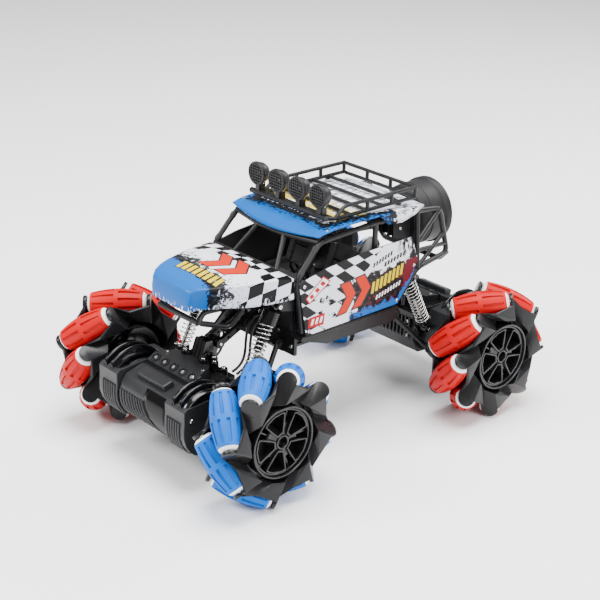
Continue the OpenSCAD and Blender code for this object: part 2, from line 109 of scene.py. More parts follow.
def set_stage():
    """A plain pale floor under soft studio light."""
    mesh = bpy.data.meshes.new("floor")
    h = FLOOR_HALF
    mesh.from_pydata([(-h, -h, 0), (h, -h, 0), (h, h, 0), (-h, h, 0)], [], [(0, 1, 2, 3)])
    floor = add_object("floor", mesh)
    mesh.materials.append(Look("floor", (0.93, 0.93, 0.935), 0.75).mat)
    world = bpy.data.worlds.new("studio")
    world.use_nodes = True
    background = world.node_tree.nodes["Background"].inputs
    background["Color"].default_value = (1, 1, 1, 1)
    background["Strength"].default_value = 0.5
    bpy.context.scene.world = world
    for light in LIGHTS:
        area_light(*light)


# ---------- materials ----------

class Look:
    """A Principled material with short helpers for its node network."""

    def __init__(self, name, color, rough, metal=0.0, coat=0.0, specular=0.5):
        self.mat = bpy.data.materials.new(name)
        self.mat.use_nodes = True
        self.mat.diffuse_color = (*color, 1)
        self.tree = self.mat.node_tree
        self.tree.nodes.clear()
        out = self.node("OutputMaterial")
        self.bsdf = self.node("BsdfPrincipled")
        self.tree.links.new(self.bsdf.outputs[0], out.inputs[0])
        for socket, value in (("Base Color", (*color, 1)), ("Roughness", rough),
                              ("Metallic", metal), ("Coat Weight", coat),
                              ("Coat Roughness", 0.06), ("Specular IOR Level", specular)):
            self.bsdf.inputs[socket].default_value = value
        self.place = self.node("TexCoord").outputs["Object"]

    def node(self, kind, **sockets):
        """A new shader node. Its sockets are given by name, with _ for a space."""
        node = self.tree.nodes.new("ShaderNode" + kind)
        for key, value in sockets.items():
            self.put(node.inputs[key.replace("_", " ")], value)
        return node

    def put(self, socket, value):
        """Sets or links a socket."""
        if isinstance(value, bpy.types.NodeSocket):
            self.tree.links.new(value, socket)
        elif socket.type == "RGBA" and len(value) == 3:
            socket.default_value = (*value, 1)
        else:
            socket.default_value = value

    def math(self, op, a, b=0.0):
        node = self.node("Math")
        node.operation = op
        for socket, value in zip(node.inputs, (a, b)):
            self.put(socket, value)
        return node.outputs[0]

    def ramp(self, value, low, high, to_low=0.0, to_high=1.0):
        """Maps value from low..high to to_low..to_high, clamped."""
        return self.node("MapRange", Value=value, From_Min=low, From_Max=high, To_Min=to_low,
                         To_Max=to_high).outputs["Result"]

    def mix(self, share, a, b):
        node = self.node("Mix")
        node.data_type = "RGBA"
        for number, value in ((0, share), (6, a), (7, b)):
            self.put(node.inputs[number], value)
        return node.outputs[2]

    def noise(self, scale, detail=3.0, coords=None, rough=0.5):
        return self.node("TexNoise", Vector=coords or self.place, Scale=scale, Detail=detail,
                         Roughness=rough).outputs["Fac"]

    def moved(self, scale=(1, 1, 1), shift=(0, 0, 0), coords=None):
        return self.node("Mapping", Vector=coords or self.place, Scale=scale,
                         Location=shift).outputs[0]

    def bump(self, height, distance):
        self.put(self.bsdf.inputs["Normal"],
                 self.node("Bump", Strength=1.0, Distance=distance, Height=height).outputs[0])

    def grained(self, color, lighter, rough, spread=0.12, grain=2600, depth=0.00002):
        """Moulded or painted surface: slow colour drift, uneven gloss and a fine grain."""
        drift = self.noise(22, 4)
        self.put(self.bsdf.inputs["Base Color"],
                 self.mix(self.ramp(drift, 0.3, 0.7), color, lighter))
        gloss = self.noise(110, 5)
        self.put(self.bsdf.inputs["Roughness"],
                 self.ramp(gloss, 0.3, 0.7, rough - spread / 2, rough + spread / 2))
        self.bump(self.noise(grain, 2), depth)
        return self.mat


def make_looks():
    looks = {}

    def add(name, color, lighter, rough, **more):
        grain = {k: more.pop(k) for k in ("spread", "grain", "depth") if k in more}
        looks[name] = Look(name, color, rough, **more).grained(color, lighter, rough, **grain)

    add("charcoal_plastic", (0.0075, 0.0076, 0.0085), (0.012, 0.0122, 0.0133), 0.36,
        grain=3200, specular=0.2)
    add("hub_black", (0.0045, 0.0045, 0.005), (0.0075, 0.0075, 0.008), 0.24, grain=3200,
        depth=0.000006, specular=0.34)
    add("black_plastic", (0.0035, 0.0035, 0.004), (0.007, 0.007, 0.0075), 0.3, depth=0.00001,
        specular=0.3)
    add("gloss_black", (0.002, 0.002, 0.0025), (0.004, 0.004, 0.0045), 0.13, spread=0.06,
        depth=0.000004, specular=0.35)
    add("satin_black", (0.005, 0.005, 0.0055), (0.01, 0.01, 0.0105), 0.42, specular=0.26)
    add("housing_grey", (0.011, 0.0115, 0.0125), (0.018, 0.0186, 0.02), 0.36, grain=3600,
        specular=0.28)
    add("panel_black", (0.002, 0.002, 0.0022), (0.0035, 0.0035, 0.004), 0.22, spread=0.06,
        depth=0.000004, specular=0.1)
    add("cabin_black", (0.02, 0.02, 0.021), (0.032, 0.032, 0.034), 0.4, specular=0.5)
    add("lamp_glass", (0.004, 0.004, 0.0045), (0.007, 0.007, 0.0075), 0.12, spread=0.04,
        specular=0.35)
    add("blue_rubber", (0.0, 0.098, 0.42), (0.0, 0.118, 0.5), 0.45, grain=1800, depth=0.00003,
        specular=0.12)
    add("red_rubber", (0.4, 0.0014, 0.003), (0.47, 0.0022, 0.0045), 0.45, grain=1800,
        depth=0.00003, specular=0.12)
    add("white_plastic", (0.8, 0.8, 0.79), (0.88, 0.88, 0.87), 0.35)
    add("steel", (0.62, 0.62, 0.63), (0.75, 0.75, 0.76), 0.22, metal=1.0, grain=5000)
    add("spring_steel", (0.5, 0.49, 0.47), (0.66, 0.65, 0.62), 0.18, metal=1.0, grain=5000)
    add("dark_steel", (0.12, 0.12, 0.125), (0.2, 0.2, 0.21), 0.3, metal=1.0)
    add("seat_black", (0.03, 0.03, 0.032), (0.046, 0.046, 0.048), 0.32, grain=1400, depth=0.00006)
    add("lead_black", (0.01, 0.01, 0.01), (0.018, 0.018, 0.018), 0.35)
    add("cage_black", (0.006, 0.006, 0.0065), (0.011, 0.011, 0.0115), 0.38, specular=0.3)
    add("nozzle_black", (0.008, 0.008, 0.009), (0.014, 0.014, 0.0145), 0.5, grain=1500,
        depth=0.00004, specular=0.25)
    add("battery_wrap", (0.01, 0.05, 0.2), (0.015, 0.07, 0.26), 0.3)
    add("print_yellow", (0.55, 0.4, 0.0), (0.6, 0.44, 0.0), 0.34, specular=0.12)
    add("print_orange", (0.45, 0.018, 0.004), (0.5, 0.022, 0.005), 0.34, specular=0.12)
    add("print_red", (0.35, 0.002, 0.004), (0.4, 0.003, 0.005), 0.34, specular=0.12)
    add("print_dark", (0.006, 0.0065, 0.007), (0.01, 0.011, 0.012), 0.34, specular=0.25)
    add("print_white", (0.74, 0.74, 0.76), (0.8, 0.8, 0.82), 0.3)
    return looks


# ---------- mesh building ----------

class Shape:
    """Collects vertices in millimetres and faces with a material number."""

    def __init__(self):
        self.points, self.faces, self.marks = [], [], []
        self.place = None

    def at(self, place=None):
        """Sets the transform for what is added next."""
        self.place = place
        return self

    def add(self, points, faces, mark=0):
        base = len(self.points)
        self.points += [self.place @ Vector(p) if self.place else Vector(p) for p in points]
        self.faces += [[base + i for i in f] for f in faces]
        self.marks += [mark] * len(faces)

    def grid(self, rows, mark=0, ring=False, loop=False):
        """Quads over rows of points. ring closes each row, loop joins the last row to the first."""
        n, m = len(rows[0]), len(rows)
        faces = []
        for i in range(m if loop else m - 1):
            for j in range(n if ring else n - 1):
                a, b = i * n + j, i * n + (j + 1) % n
                c, d = ((i + 1) % m) * n + (j + 1) % n, ((i + 1) % m) * n + j
                faces.append((a, b, c, d))
        self.add([p for row in rows for p in row], faces, mark)

    def lathe(self, profile, sides=48, mark=0, axis="x", close=False):
        """Turns (radius, height) points about an axis through the origin."""
        rows = []
        for r, h in profile:
            row = []
            for k in range(sides):
                a = tau * k / sides
                c, s = r * cos(a), r * sin(a)
                row.append({"x": (h, c, s), "y": (s, h, c), "z": (c, s, h)}[axis])
            rows.append(row)
        self.grid(rows, mark, ring=True)
        if close:
            for row, order in ((rows[0], -1), (rows[-1], 1)):
                self.add(row, [tuple(range(sides))[::order]], mark)

    def box(self, low, high, mark=0):
        (a, b, c), (d, e, f) = low, high
        pts = [(x, y, z) for z in (c, f) for x, y in ((a, b), (d, b), (d, e), (a, e))]
        self.add(pts, [(3, 2, 1, 0), (4, 5, 6, 7), (0, 1, 5, 4), (1, 2, 6, 5), (2, 3, 7, 6),
                       (3, 0, 4, 7)], mark)

    def prism(self, outline, lift, mark=0):
        """Extrudes an outline of 3D points by the vector lift."""
        n = len(outline)
        low = [Vector(p) for p in outline]
        high = [p + Vector(lift) for p in low]
        normal = sum(((low[i] - low[0]).cross(low[(i + 1) % n] - low[0]) for i in range(n)),
                     Vector())
        if normal.dot(Vector(lift)) < 0:
            low.reverse()
            high.reverse()
        faces = [tuple(range(n))[::-1], tuple(range(n, 2 * n))]
        faces += [(i, (i + 1) % n, n + (i + 1) % n, n + i) for i in range(n)]
        self.add(low + high, faces, mark)

    def plate(self, outline, x0, x1, mark=0):
        """A plate with a side outline of (y, z) points between two x values, in any order."""
        x0, x1 = sorted((x0, x1))
        self.prism([(x0, y, z) for y, z in outline], (x1 - x0, 0, 0), mark)

    def tube(self, path, radius, sides=12, mark=0, round_r=0.0, closed=False):
        """A tube along a path. round_r rounds its corners."""
        pts = rounded(path, round_r) if round_r else [Vector(p) for p in path]
        count = len(pts)
        rows, side = [], None
        for i in range(count):
            before = pts[i - 1] if i or closed else pts[0]
            after = pts[(i + 1) % count] if i < count - 1 or closed else pts[-1]
            t = (after - before).normalized()
            if side is None:
                side = t.orthogonal().normalized()
            side = (side - t * side.dot(t)).normalized()
            other = t.cross(side)
            rows.append([pts[i] + side * (radius * cos(a)) + other * (radius * sin(a))
                         for a in (tau * k / sides for k in range(sides))])
        base = len(self.points)
        self.grid(rows, mark, ring=True, loop=closed)
        if not closed:
            for start, order in ((base, -1), (base + (count - 1) * sides, 1)):
                self.faces.append([start + k for k in range(sides)][::order])
                self.marks.append(mark)


def shifted(x, y, z):
    return Matrix.Translation((x, y, z))


def turned(angle, axis):
    return Matrix.Rotation(angle, 4, axis)


def mirrored(s):
    """Places a shape drawn for the car's left at the side s, 1 or -1."""
    return Matrix.Diagonal((s, 1, 1, 1))


def rounded(path, radius, steps=5):
    """A path whose corners are rounded with curves of about the given radius."""
    pts = [Vector(p) for p in path]
    out = [pts[0]]
    for a, b, c in zip(pts, pts[1:], pts[2:]):
        reach = min(radius, (b - a).length * 0.45, (c - b).length * 0.45)
        p, q = b + (a - b).normalized() * reach, b + (c - b).normalized() * reach
        for i in range(steps + 1):
            t = i / steps
            out.append(p * (1 - t) ** 2 + b * (2 * t * (1 - t)) + q * t ** 2)
    out.append(pts[-1])
    return out


def modifier(piece, kind, **settings):
    mod = piece.modifiers.new(kind.lower(), kind)
    for key, value in settings.items():
        setattr(mod, key, value)


def bevel_edges(piece, width, angle, **more):
    modifier(piece, "BEVEL", width=width * MM, segments=2, limit_method="ANGLE",
             angle_limit=radians(angle), **more)


def make(name, shape, looks, body=None, replaces=(), bevel=0.0, smooth=35, solid=0.0, weld=True,
         soft=False, inner=0):
    """Turns a Shape into an object, with looks given by name, that rides on a body."""
    mesh = bpy.data.meshes.new(name)
    mesh.from_pydata([p * MM for p in shape.points], [], shape.faces)
    for look in looks.split():
        mesh.materials.append(LOOKS[look])
    mesh.polygons.foreach_set("material_index", shape.marks)
    if weld:
        bm = bmesh.new()
        bm.from_mesh(mesh)
        bmesh.ops.remove_doubles(bm, verts=bm.verts, dist=0.00001)
        bmesh.ops.recalc_face_normals(bm, faces=bm.faces)
        bm.to_mesh(mesh)
        bm.free()
    mesh.shade_smooth()
    mesh.set_sharp_from_angle(angle=radians(smooth))
    piece = add_object(name, mesh)
    if solid:
        modifier(piece, "SOLIDIFY", thickness=solid * MM, offset=-1, use_even_offset=True,
                 material_offset=inner)
    if bevel:
        bevel_edges(piece, bevel, 28, harden_normals=True)
    if soft:
        modifier(piece, "SUBSURF", levels=2, render_levels=2)
    if body:
        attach(piece, body)
    if replaces:
        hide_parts(*replaces)
    return piece


def face_outward(mesh, out):
    """Turns an open surface so that it faces the given direction on the whole."""
    if sum(p.normal.dot(out) * p.area for p in mesh.polygons) < 0:
        mesh.flip_normals()


# ---------- wheels ----------

JOINTS = {j["name"]: j for j in frame["joints"]}
ROLLERS = 8
ROLLER_HALF = 26.0
SLEEVE_HALF = 23.5
WHEEL_R = 60.0
PIN_CIRCLE = 47.2
LEAN = sin(radians(48))
TONGUE_FACE = 29.8      # from a roller's middle to the outer face of its bracket
TONGUE_R = 7.4
GROOVE_R = 34.5         # inner edge of the lobed plates
RING_R = 31.0
RING_X = 22.3           # how far the face ring stands out of the wheel's middle plane
PETALS = 5


def roller_r(s):
    return WHEEL_R - hypot(PIN_CIRCLE, s * LEAN)


def sleeve_shape():
    """Coloured sleeve with two staggered rows of slots and white end caps, along Z."""
    shape = Shape()
    per_row, wide, wall = 10, 7.0, 1.1
    angles = []
    for k in range(2 * per_row):
        mid = 180 / per_row * k
        for off, inside in ((-wide, 0), (-wide + wall, 1), (wide - wall, 1), (wide, 0)):
            angles.append((radians(mid + off), k % 2, inside))
    stops = [2.0, 2.5, 6.0, 10.0, 14.0, 18.0, 20.4, 21.0, 22.6]
    levels = [-s for s in stops[::-1]] + [0.0] + stops
    end_r = 0.955 * roller_r(SLEEVE_HALF)
    rows = [[(end_r * cos(a), end_r * sin(a), -SLEEVE_HALF) for a, _, _ in angles]]
    for s in levels:
        row = []
        for a, half, inside in angles:
            r = roller_r(s)
            if inside and (s > 0) == bool(half) and 2.4 < abs(s) < 20.8:
                r -= 2.0 - 0.045 * abs(s)
            row.append((r * cos(a), r * sin(a), s))
        rows.append(row)
    rows.append([(x, y, SLEEVE_HALF) for x, y, _ in rows[0]])
    shape.grid(rows, 0, ring=True)
    for sign in (-1, 1):
        end = [(end_r, SLEEVE_HALF), (8.9, SLEEVE_HALF - 0.2), (8.9, 23.9),
               (8.5, 24.4), (6.5, ROLLER_HALF - 0.3), (6.0, ROLLER_HALF), (3.2, ROLLER_HALF),
               (3.0, ROLLER_HALF - 0.4), (1.7, ROLLER_HALF - 0.4)]
        shape.lathe([(r, sign * h) for r, h in end], 40, 1, "z")
    return shape


def tongues(centre, pins, outward):
    """Bracket frames in turning order: outer face centre, inward and proud-side directions."""
    found = []
    for pos, axis in pins:
        face = pos + axis * TONGUE_FACE
        inward = -(pos - centre).normalized()
        proud = axis.cross(inward)
        if proud.dot(outward) < 0:
            proud = -proud
        rel = face - centre
        angle = atan2(rel.z, rel.y)
        sense = 1 if proud.dot(Vector((0, -sin(angle), cos(angle)))) > 0 else -1
        found.append((angle * sense, face, inward, proud))
    return sorted(found, key=lambda t: t[0])


def root(centre, start, inward):
    """Where a line from start along inward meets the groove's wall."""
    p, d = start - centre, inward
    a = d.y * d.y + d.z * d.z
    b = 2 * (p.y * d.y + p.z * d.z)
    c = p.y * p.y + p.z * p.z - GROOVE_R * GROOVE_R
    return start + inward * ((-b - sqrt(b * b - 4 * a * c)) / (2 * a))


def star_plate(centre, pins, outward):
    """Lobed plate: a round-ended bracket square to each roller, and twisted ramps between."""
    shape = Shape()
    found = tongues(centre, pins, outward)
    edges, rim = [], []
    for _, face, inward, proud in found:
        deep_root = root(centre, face - proud * (TONGUE_R - 0.9), inward)
        proud_root = root(centre, face + proud * (TONGUE_R - 0.9), inward)
        arc = [face - inward * (TONGUE_R * cos(b)) + proud * (TONGUE_R * sin(b))
               for b in (radians(-90 + 15 * i) for i in range(13))]
        shape.add([deep_root, *arc, proud_root], [tuple(range(15))], 1)
        edges.append((deep_root, arc[0], arc[-1], proud_root))

    def polar(r, angle, x):
        return centre + Vector((x, r * cos(angle), r * sin(angle)))

    fall, low = 0.66, 0.3   # share of the ramp's turn and of its drop at the notch
    for i, (deep_root, _, high, proud_root) in enumerate(edges):
        next_root, next_deep = edges[(i + 1) % len(edges)][:2]
        ends = [p - centre for p in (high, next_deep, proud_root, next_root)]
        a0, a1, b0, b1 = [atan2(p.z, p.y) for p in ends]
        a1 += tau * round((a0 - a1) / tau)
        b1 += tau * round((b0 - b1) / tau)
        x0, x1, y0, y1 = [p.x for p in ends]
        notch = polar(46.0, a0 + (a1 - a0) * fall, x0 + (x1 - x0) * low)
        inner = [proud_root]
        for t in (0.22, 0.44, fall, 0.83):
            drop = low * t / fall if t <= fall else low + (1 - low) * (t - fall) / (1 - fall)
            inner.append(polar(GROOVE_R, b0 + (b1 - b0) * t, y0 + (y1 - y0) * drop))
        inner.append(next_root)
        pts = [notch, high, *inner, next_deep]
        shape.add(pts, [(0, j, j + 1) for j in range(1, len(pts) - 1)], 0)
        rim += [deep_root, *inner[:-1]]
    # wall down into the groove round the face ring, in the black plastic: its darker tone than the
    # charcoal plate is painted shade in the groove
    floor = [Vector((centre.x + outward.x * 11.5, p.y, p.z)) for p in rim]
    shape.grid([rim, floor], 1, ring=True)
    return shape


def petal(turn, grow):
    """Corners of one spoke loop, as (radius, angle) turned into (y, z)."""
    corners = [(7.6, -24), (15.5, -27), (26.2, -24.5), (27.0, -19), (27.4, 0), (27.0, 19),
               (26.2, 24.5), (15.5, 27), (7.6, 24)]
    mid = 17.5
    out = []
    for r, a in corners:
        a = radians(a)
        y, z = r * cos(a) - mid, r * sin(a)
        size = hypot(y, z)
        y, z = y * (1 - grow / size) + mid, z * (1 - grow / size)
        t = radians(turn)
        out.append((y * cos(t) - z * sin(t), y * sin(t) + z * cos(t)))
    return out


def hub_face(place, turn):
    """Face ring with five raised loops, dark openings between them and a round boss."""
    shape = Shape().at(place)
    shape.lathe([(GROOVE_R + 0.4, 11.6), (RING_R, 11.6), (RING_R, RING_X - 0.4),
                 (RING_R - 0.4, RING_X), (RING_R - 1.5, RING_X), (RING_R - 1.9, RING_X - 0.4),
                 (RING_R - 1.9, 19.2), (RING_R - 2.4, 19.2), (RING_R - 2.6, 20.2), (27.2, 20.2),
                 (26.8, 19.8), (26.8, 11.0)], 96, 0)
    shape.lathe([(27.5, 11.0), (3.0, 11.0)], 60, 1)
    shape.lathe([(7.2, 10.0), (7.2, 18.4), (6.9, 18.8), (6.3, 18.8), (6.3, 20.6), (5.9, 21.0),
                 (4.9, 21.0), (4.5, 20.6), (4.5, 12.0)], 48, 0)
    shape.lathe([(4.6, 14.0), (2.6, 14.0), (2.4, 15.4), (0.01, 15.6)], 32, 2)
    for s in range(PETALS):
        angle = turn + 72 * s
        outer, inner = petal(angle, 0.0), petal(angle, 1.9)
        levels = ((outer, 11.0), (outer, 20.6), (petal(angle, 0.3), 21.0),
                  (petal(angle, 1.6), 21.0), (inner, 20.6), (inner, 11.0))
        shape.grid([[(x, y, z) for y, z in line] for line, x in levels], 0, ring=True)
        # web between this loop and the next, up to the window near the rim
        a, b = radians(angle + 24), radians(angle + 48)
        web = []
        for r, x in ((6.6, 19.6), (11.0, 18.6), (15.6, 18.6), (16.6, 17.6), (16.6, 11.0)):
            web.append([(x, r * cos(a + (b - a) * t), r * sin(a + (b - a) * t))
                        for t in (0, 0.25, 0.5, 0.75, 1)])
        shape.grid(web, 0)
        mid = (a + b) / 2
        rib = [(12, r * cos(mid) - w * sin(mid), r * sin(mid) + w * cos(mid))
               for r, w in ((16.0, -0.7), (16.0, 0.7), (27.0, 0.7), (27.0, -0.7))]
        shape.prism(rib, (5.0, 0, 0), 0)
    return shape


def make_wheel(corner, sleeves):
    centre = Vector(JOINTS[f"wheel_{corner}"]["pos_m"]) / MM
    side = 1 if centre.x > 0 else -1
    outward = Vector((side, 0, 0))
    body = f"wheel_{corner}"
    pins = []
    for k in range(1, ROLLERS + 1):
        joint = JOINTS[f"roller_{corner}_{k}_spin"]
        pins.append((Vector(joint["pos_m"]) / MM, Vector(joint["axis"]).normalized()))
    front = star_plate(centre, pins, outward)
    back = star_plate(centre, [(p, -a) for p, a in pins], -outward)
    for name, shape, out in (("front", front, outward), ("back", back, -outward)):
        piece = make(f"hub_{name}_plate_{corner}", shape, "charcoal_plastic black_plastic",
                     smooth=20)
        face_outward(piece.data, out)
        modifier(piece, "SOLIDIFY", thickness=3.0 * MM, offset=-1)
        bevel_edges(piece, 0.4, 25)
        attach(piece, body)
        if name == "front":
            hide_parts(f"hub_{corner}")
    place = Matrix.Translation(centre) @ mirrored(side)
    first = pins[0][0] - centre
    turn = degrees(atan2(first.z, first.y)) + 50
    make(f"hub_face_{corner}", hub_face(place, turn),
         "hub_black gloss_black dark_steel", body, bevel=0.15)
    drum = Shape().at(place)
    drum.lathe([(GROOVE_R + 0.4, 11.6), (29.0, 11.0), (27.5, 8.0), (27.5, -8.0), (30.0, -11.4),
                (GROOVE_R + 0.4, -11.6)], 64, 0)
    drum.lathe([(GROOVE_R + 0.4, -11.7), (33.0, -12.5), (30.0, -16.5), (28.5, -17.0),
                (24.0, -13.5), (16.5, -12.0), (14.5, -12.5), (14.0, -18.6), (13.2, -19.3),
                (5.4, -19.3), (4.8, -18.8), (4.8, -12.0)], 72, 1)
    make(f"hub_drum_{corner}", drum, "black_plastic gloss_black", body,
         bevel=0.2)
    spins = [axis.to_track_quat("Z", "Y").to_matrix().to_4x4() for _, axis in pins]
    screws = Shape()
    for (pos, _), spin in zip(pins, spins):
        screws.at(Matrix.Translation(pos) @ spin)
        for end in (1, -1):
            screws.lathe([(1.5, end * (ROLLER_HALF - 0.8)), (1.5, end * 27.2)], 16, 0, "z",
                         close=True)
    make(f"roller_pins_{corner}", screws, "steel", body)
    mesh = sleeves["blue" if corner in ("fl", "rr") else "red"]
    for k, ((pos, _), spin) in enumerate(zip(pins, spins), 1):
        placed = mesh.copy()
        placed.transform(Matrix.Translation(pos * MM) @ spin)
        piece = add_object(f"roller_tyre_{corner}_{k}", placed)
        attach(piece, f"roller_{corner}_{k}")
        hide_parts(f"roller_{corner}_{k}")


def make_sleeves():
    meshes = {}
    for name in ("blue", "red"):
        made = make(f"sleeve_{name}", sleeve_shape(), f"{name}_rubber white_plastic", smooth=40)
        meshes[name] = made.data
        bpy.data.objects.remove(made)
    return meshes


# ---------- body shells ----------

PANEL = [(-53, 109), (-62, 158), (-50, 161), (-30, 165), (14, 169), (68.5, 170.4), (77.7, 147.6),
         (69, 128.8), (54, 111)]
PANEL_X = 60.0
SHELL_T = 1.6
# y, half width and height of the lower edge, half width and height of the shoulder, height of
# the crown, forward bow at the crown
HOOD = [(-64.5, 56.5, 144.5, 55.5, 162, 163.5, 0), (-75, 53.5, 143.3, 53, 163, 165, 0),
        (-90, 49.5, 143, 50, 163.5, 166.5, 0), (-105, 45.5, 143.5, 46, 163.7, 167, 0),
        (-120, 38.5, 144.5, 41.5, 163.7, 167, 1), (-132, 33, 145, 36, 163.5, 166.5, 2),
        (-141, 28, 145, 30, 162.8, 165.5, 3), (-146, 25, 144, 25.5, 160, 162.5, 4),
        (-147.5, 24.5, 143, 25, 152, 153, 4), (-147.2, 24.3, 142.6, 24.3, 144, 144.2, 4)]
HOOD_FLANK = 0.36
# y at the middle, y at the edges, half width, edge height, crown height, side flange
ROOF = [(-47, -39, 57, 193.4, 189.3, 0), (-37, -32, 57.5, 195.2, 196.4, 0),
        (-24, -22, 57.5, 196.5, 198, 0), (0, 0, 57.5, 197.4, 198.3, 0),
        (32, 32, 57.3, 197.2, 198.3, 0), (40, 42, 57, 196.4, 198, 9),
        (60, 60, 55.5, 195, 197.4, 9.5), (76, 77, 53, 193.6, 196.4, 6),
        (90, 93, 49.5, 192.2, 195, 0.4)]


def between(rows, steps):
    """Rows of numbers with straight steps put in between."""
    out = []
    for a, b in zip(rows, rows[1:]):
        out += [[p + (q - p) * i / steps for p, q in zip(a, b)] for i in range(steps)]
    return out + [list(rows[-1])]


def hood_section(s):
    """One line of the hood across the car, from a row of HOOD."""
    row, count = [], 44
    for j in range(count + 1):
        t = j / count * 2 - 1
        a = abs(t)
        if a > 1 - HOOD_FLANK:
            w = (a - 1 + HOOD_FLANK) / HOOD_FLANK
            x, z = s[3] + (s[1] - s[3]) * w, s[4] + (s[2] - s[4]) * w
        else:
            top = a / (1 - HOOD_FLANK) * pi / 2
            x, z = s[3] * sin(top) ** 1.05, s[4] + (s[5] - s[4]) * cos(top)
        row.append((copysign(x, t), s[0] - s[6] * cos(a * pi / 2), z))
    return row


def roof_section(s):
    """One line of the roof across the car, from a row of ROOF."""
    row, count = [], 40
    for j in range(count + 1):
        t = j / count * 2 - 1
        a = abs(t)
        u = min(1, a / 0.9)
        bow = cos(u * pi / 2)
        x = s[2] if a == 1 else (s[2] - 0.5) * u
        z = s[3] + (s[4] - s[3]) * bow
        if a > 0.9:
            z -= (s[5] + 0.8) * (a - 0.9) / 0.1
            x = s[2] - 0.5 + 0.5 * (a - 0.9) / 0.1
        row.append((copysign(x, t), s[1] + (s[0] - s[1]) * bow, z))
    return row


class Wrap(Look):
    """Printed body film: layers painted over each other by masks in millimetres."""

    def __init__(self, name, base):
        super().__init__(name, base, 0.3, coat=0.05, specular=0.12)
        self.mm = self.moved(scale=(1000, 1000, 1000))
        self.x, self.y, self.z = self.node("SeparateXYZ", Vector=self.mm).outputs
        self.color = base
        self.bsdf.inputs["Coat Roughness"].default_value = 0.08

    def step(self, value, at, soft=0.02):
        return self.ramp(value, at - soft, at + soft)

    def sum(self, *terms):
        """Sum of numbers, sockets and (factor, socket) pairs."""
        total = 0.0
        for term in terms:
            if isinstance(term, tuple):
                term = self.math("MULTIPLY", term[1], term[0])
            total = term if total == 0.0 else self.math("ADD", total, term)
        return total

    def all_of(self, *masks):
        total = masks[0]
        for m in masks[1:]:
            total = self.math("MULTIPLY", total, m)
        return total

    def splat(self, scale=0.16, seed=0.0, stretch=(1, 1, 1)):
        """Ragged noise about 0.5."""
        return self.noise(scale, 9, self.moved(scale=stretch, shift=(seed, seed, seed),
                                               coords=self.mm), rough=0.68)

    def paint(self, mask, color):
        self.color = self.mix(mask, self.color, color)

    def chequer(self, u, v):
        both = self.node("CombineXYZ", X=u, Y=v, Z=0.5)
        return self.node("TexChecker", Vector=both.outputs[0], Scale=1).outputs["Fac"]

    def off(self, mask):
        return self.math("SUBTRACT", 1.0, mask)

    def finish(self):
        self.put(self.bsdf.inputs["Base Color"], self.color)
        self.put(self.bsdf.inputs["Roughness"],
                 self.ramp(self.noise(60, 4), 0.3, 0.7, 0.28, 0.42))
        self.bump(self.noise(900, 2), 0.00001)
        return self.mat


PRINTS = "print_dark print_orange print_yellow print_red print_white"
DARK, ORANGE, YELLOW, RED, WHITE = range(5)
FILM_WHITE = (0.7, 0.71, 0.78)
FILM_BLUE = (0.0, 0.088, 0.34)
FILM_BLACK = (0.003, 0.003, 0.0032)
FILM_GREY = (0.024, 0.025, 0.028)
FILM_MAROON = (0.1, 0.008, 0.014)
FILM_YELLOW = (0.55, 0.4, 0.0)


def hood_film():
    w = Wrap("hood_film", FILM_WHITE)
    side = w.math("ABSOLUTE", w.x)
    wrap = w.sum(side, (-1.0, w.z))
    # black and white squares at the rear edge and on the rear of the flanks
    cells = w.chequer(w.sum((1 / 13, w.y), (0.012, wrap), 40.35), w.sum((1 / 11, wrap), 20.5))
    start = w.ramp(wrap, -128, -112, -82, -112)
    rear = w.step(w.sum(w.y, (-1.0, start), (22, w.splat(0.12, 3)), -11), 0, 0.4)
    w.paint(w.all_of(cells, rear), FILM_BLACK)
    # black and grey specks that thicken towards the nose
    ahead = w.ramp(w.y, -70, -128)
    w.paint(w.step(w.sum(w.splat(0.42, 11), (0.17, ahead)), 0.715), FILM_BLACK)
    w.paint(w.step(w.sum(w.splat(0.3, 17, (1, 0.35, 1)), (0.2, ahead)), 0.76), (0.28, 0.3, 0.34))
    # ragged dark band behind the blue nose
    edge = w.math("MAXIMUM", w.sum((-0.26, w.x), -127), -136.0)
    behind = w.sum(w.y, (-1.0, edge))
    w.paint(w.step(w.sum(w.splat(0.11, 5), (-0.012, behind)), 0.34), FILM_GREY)
    w.paint(w.step(w.sum(w.splat(0.35, 8), (-0.011, behind)), 0.41), FILM_BLACK)
    # blue nose with a torn edge and white scratches along the lower rim
    w.paint(w.step(w.sum(w.splat(0.3, 2), (-0.045, behind)), 0.52), FILM_BLUE)
    low = w.ramp(w.z, 152, 144)
    torn = w.step(w.sum(w.splat(0.5, 21, (1, 1, 0.35)), (0.2, low)), 0.7)
    w.paint(w.all_of(torn, w.step(low, 0.2, 0.1)), FILM_WHITE)
    return w.finish()


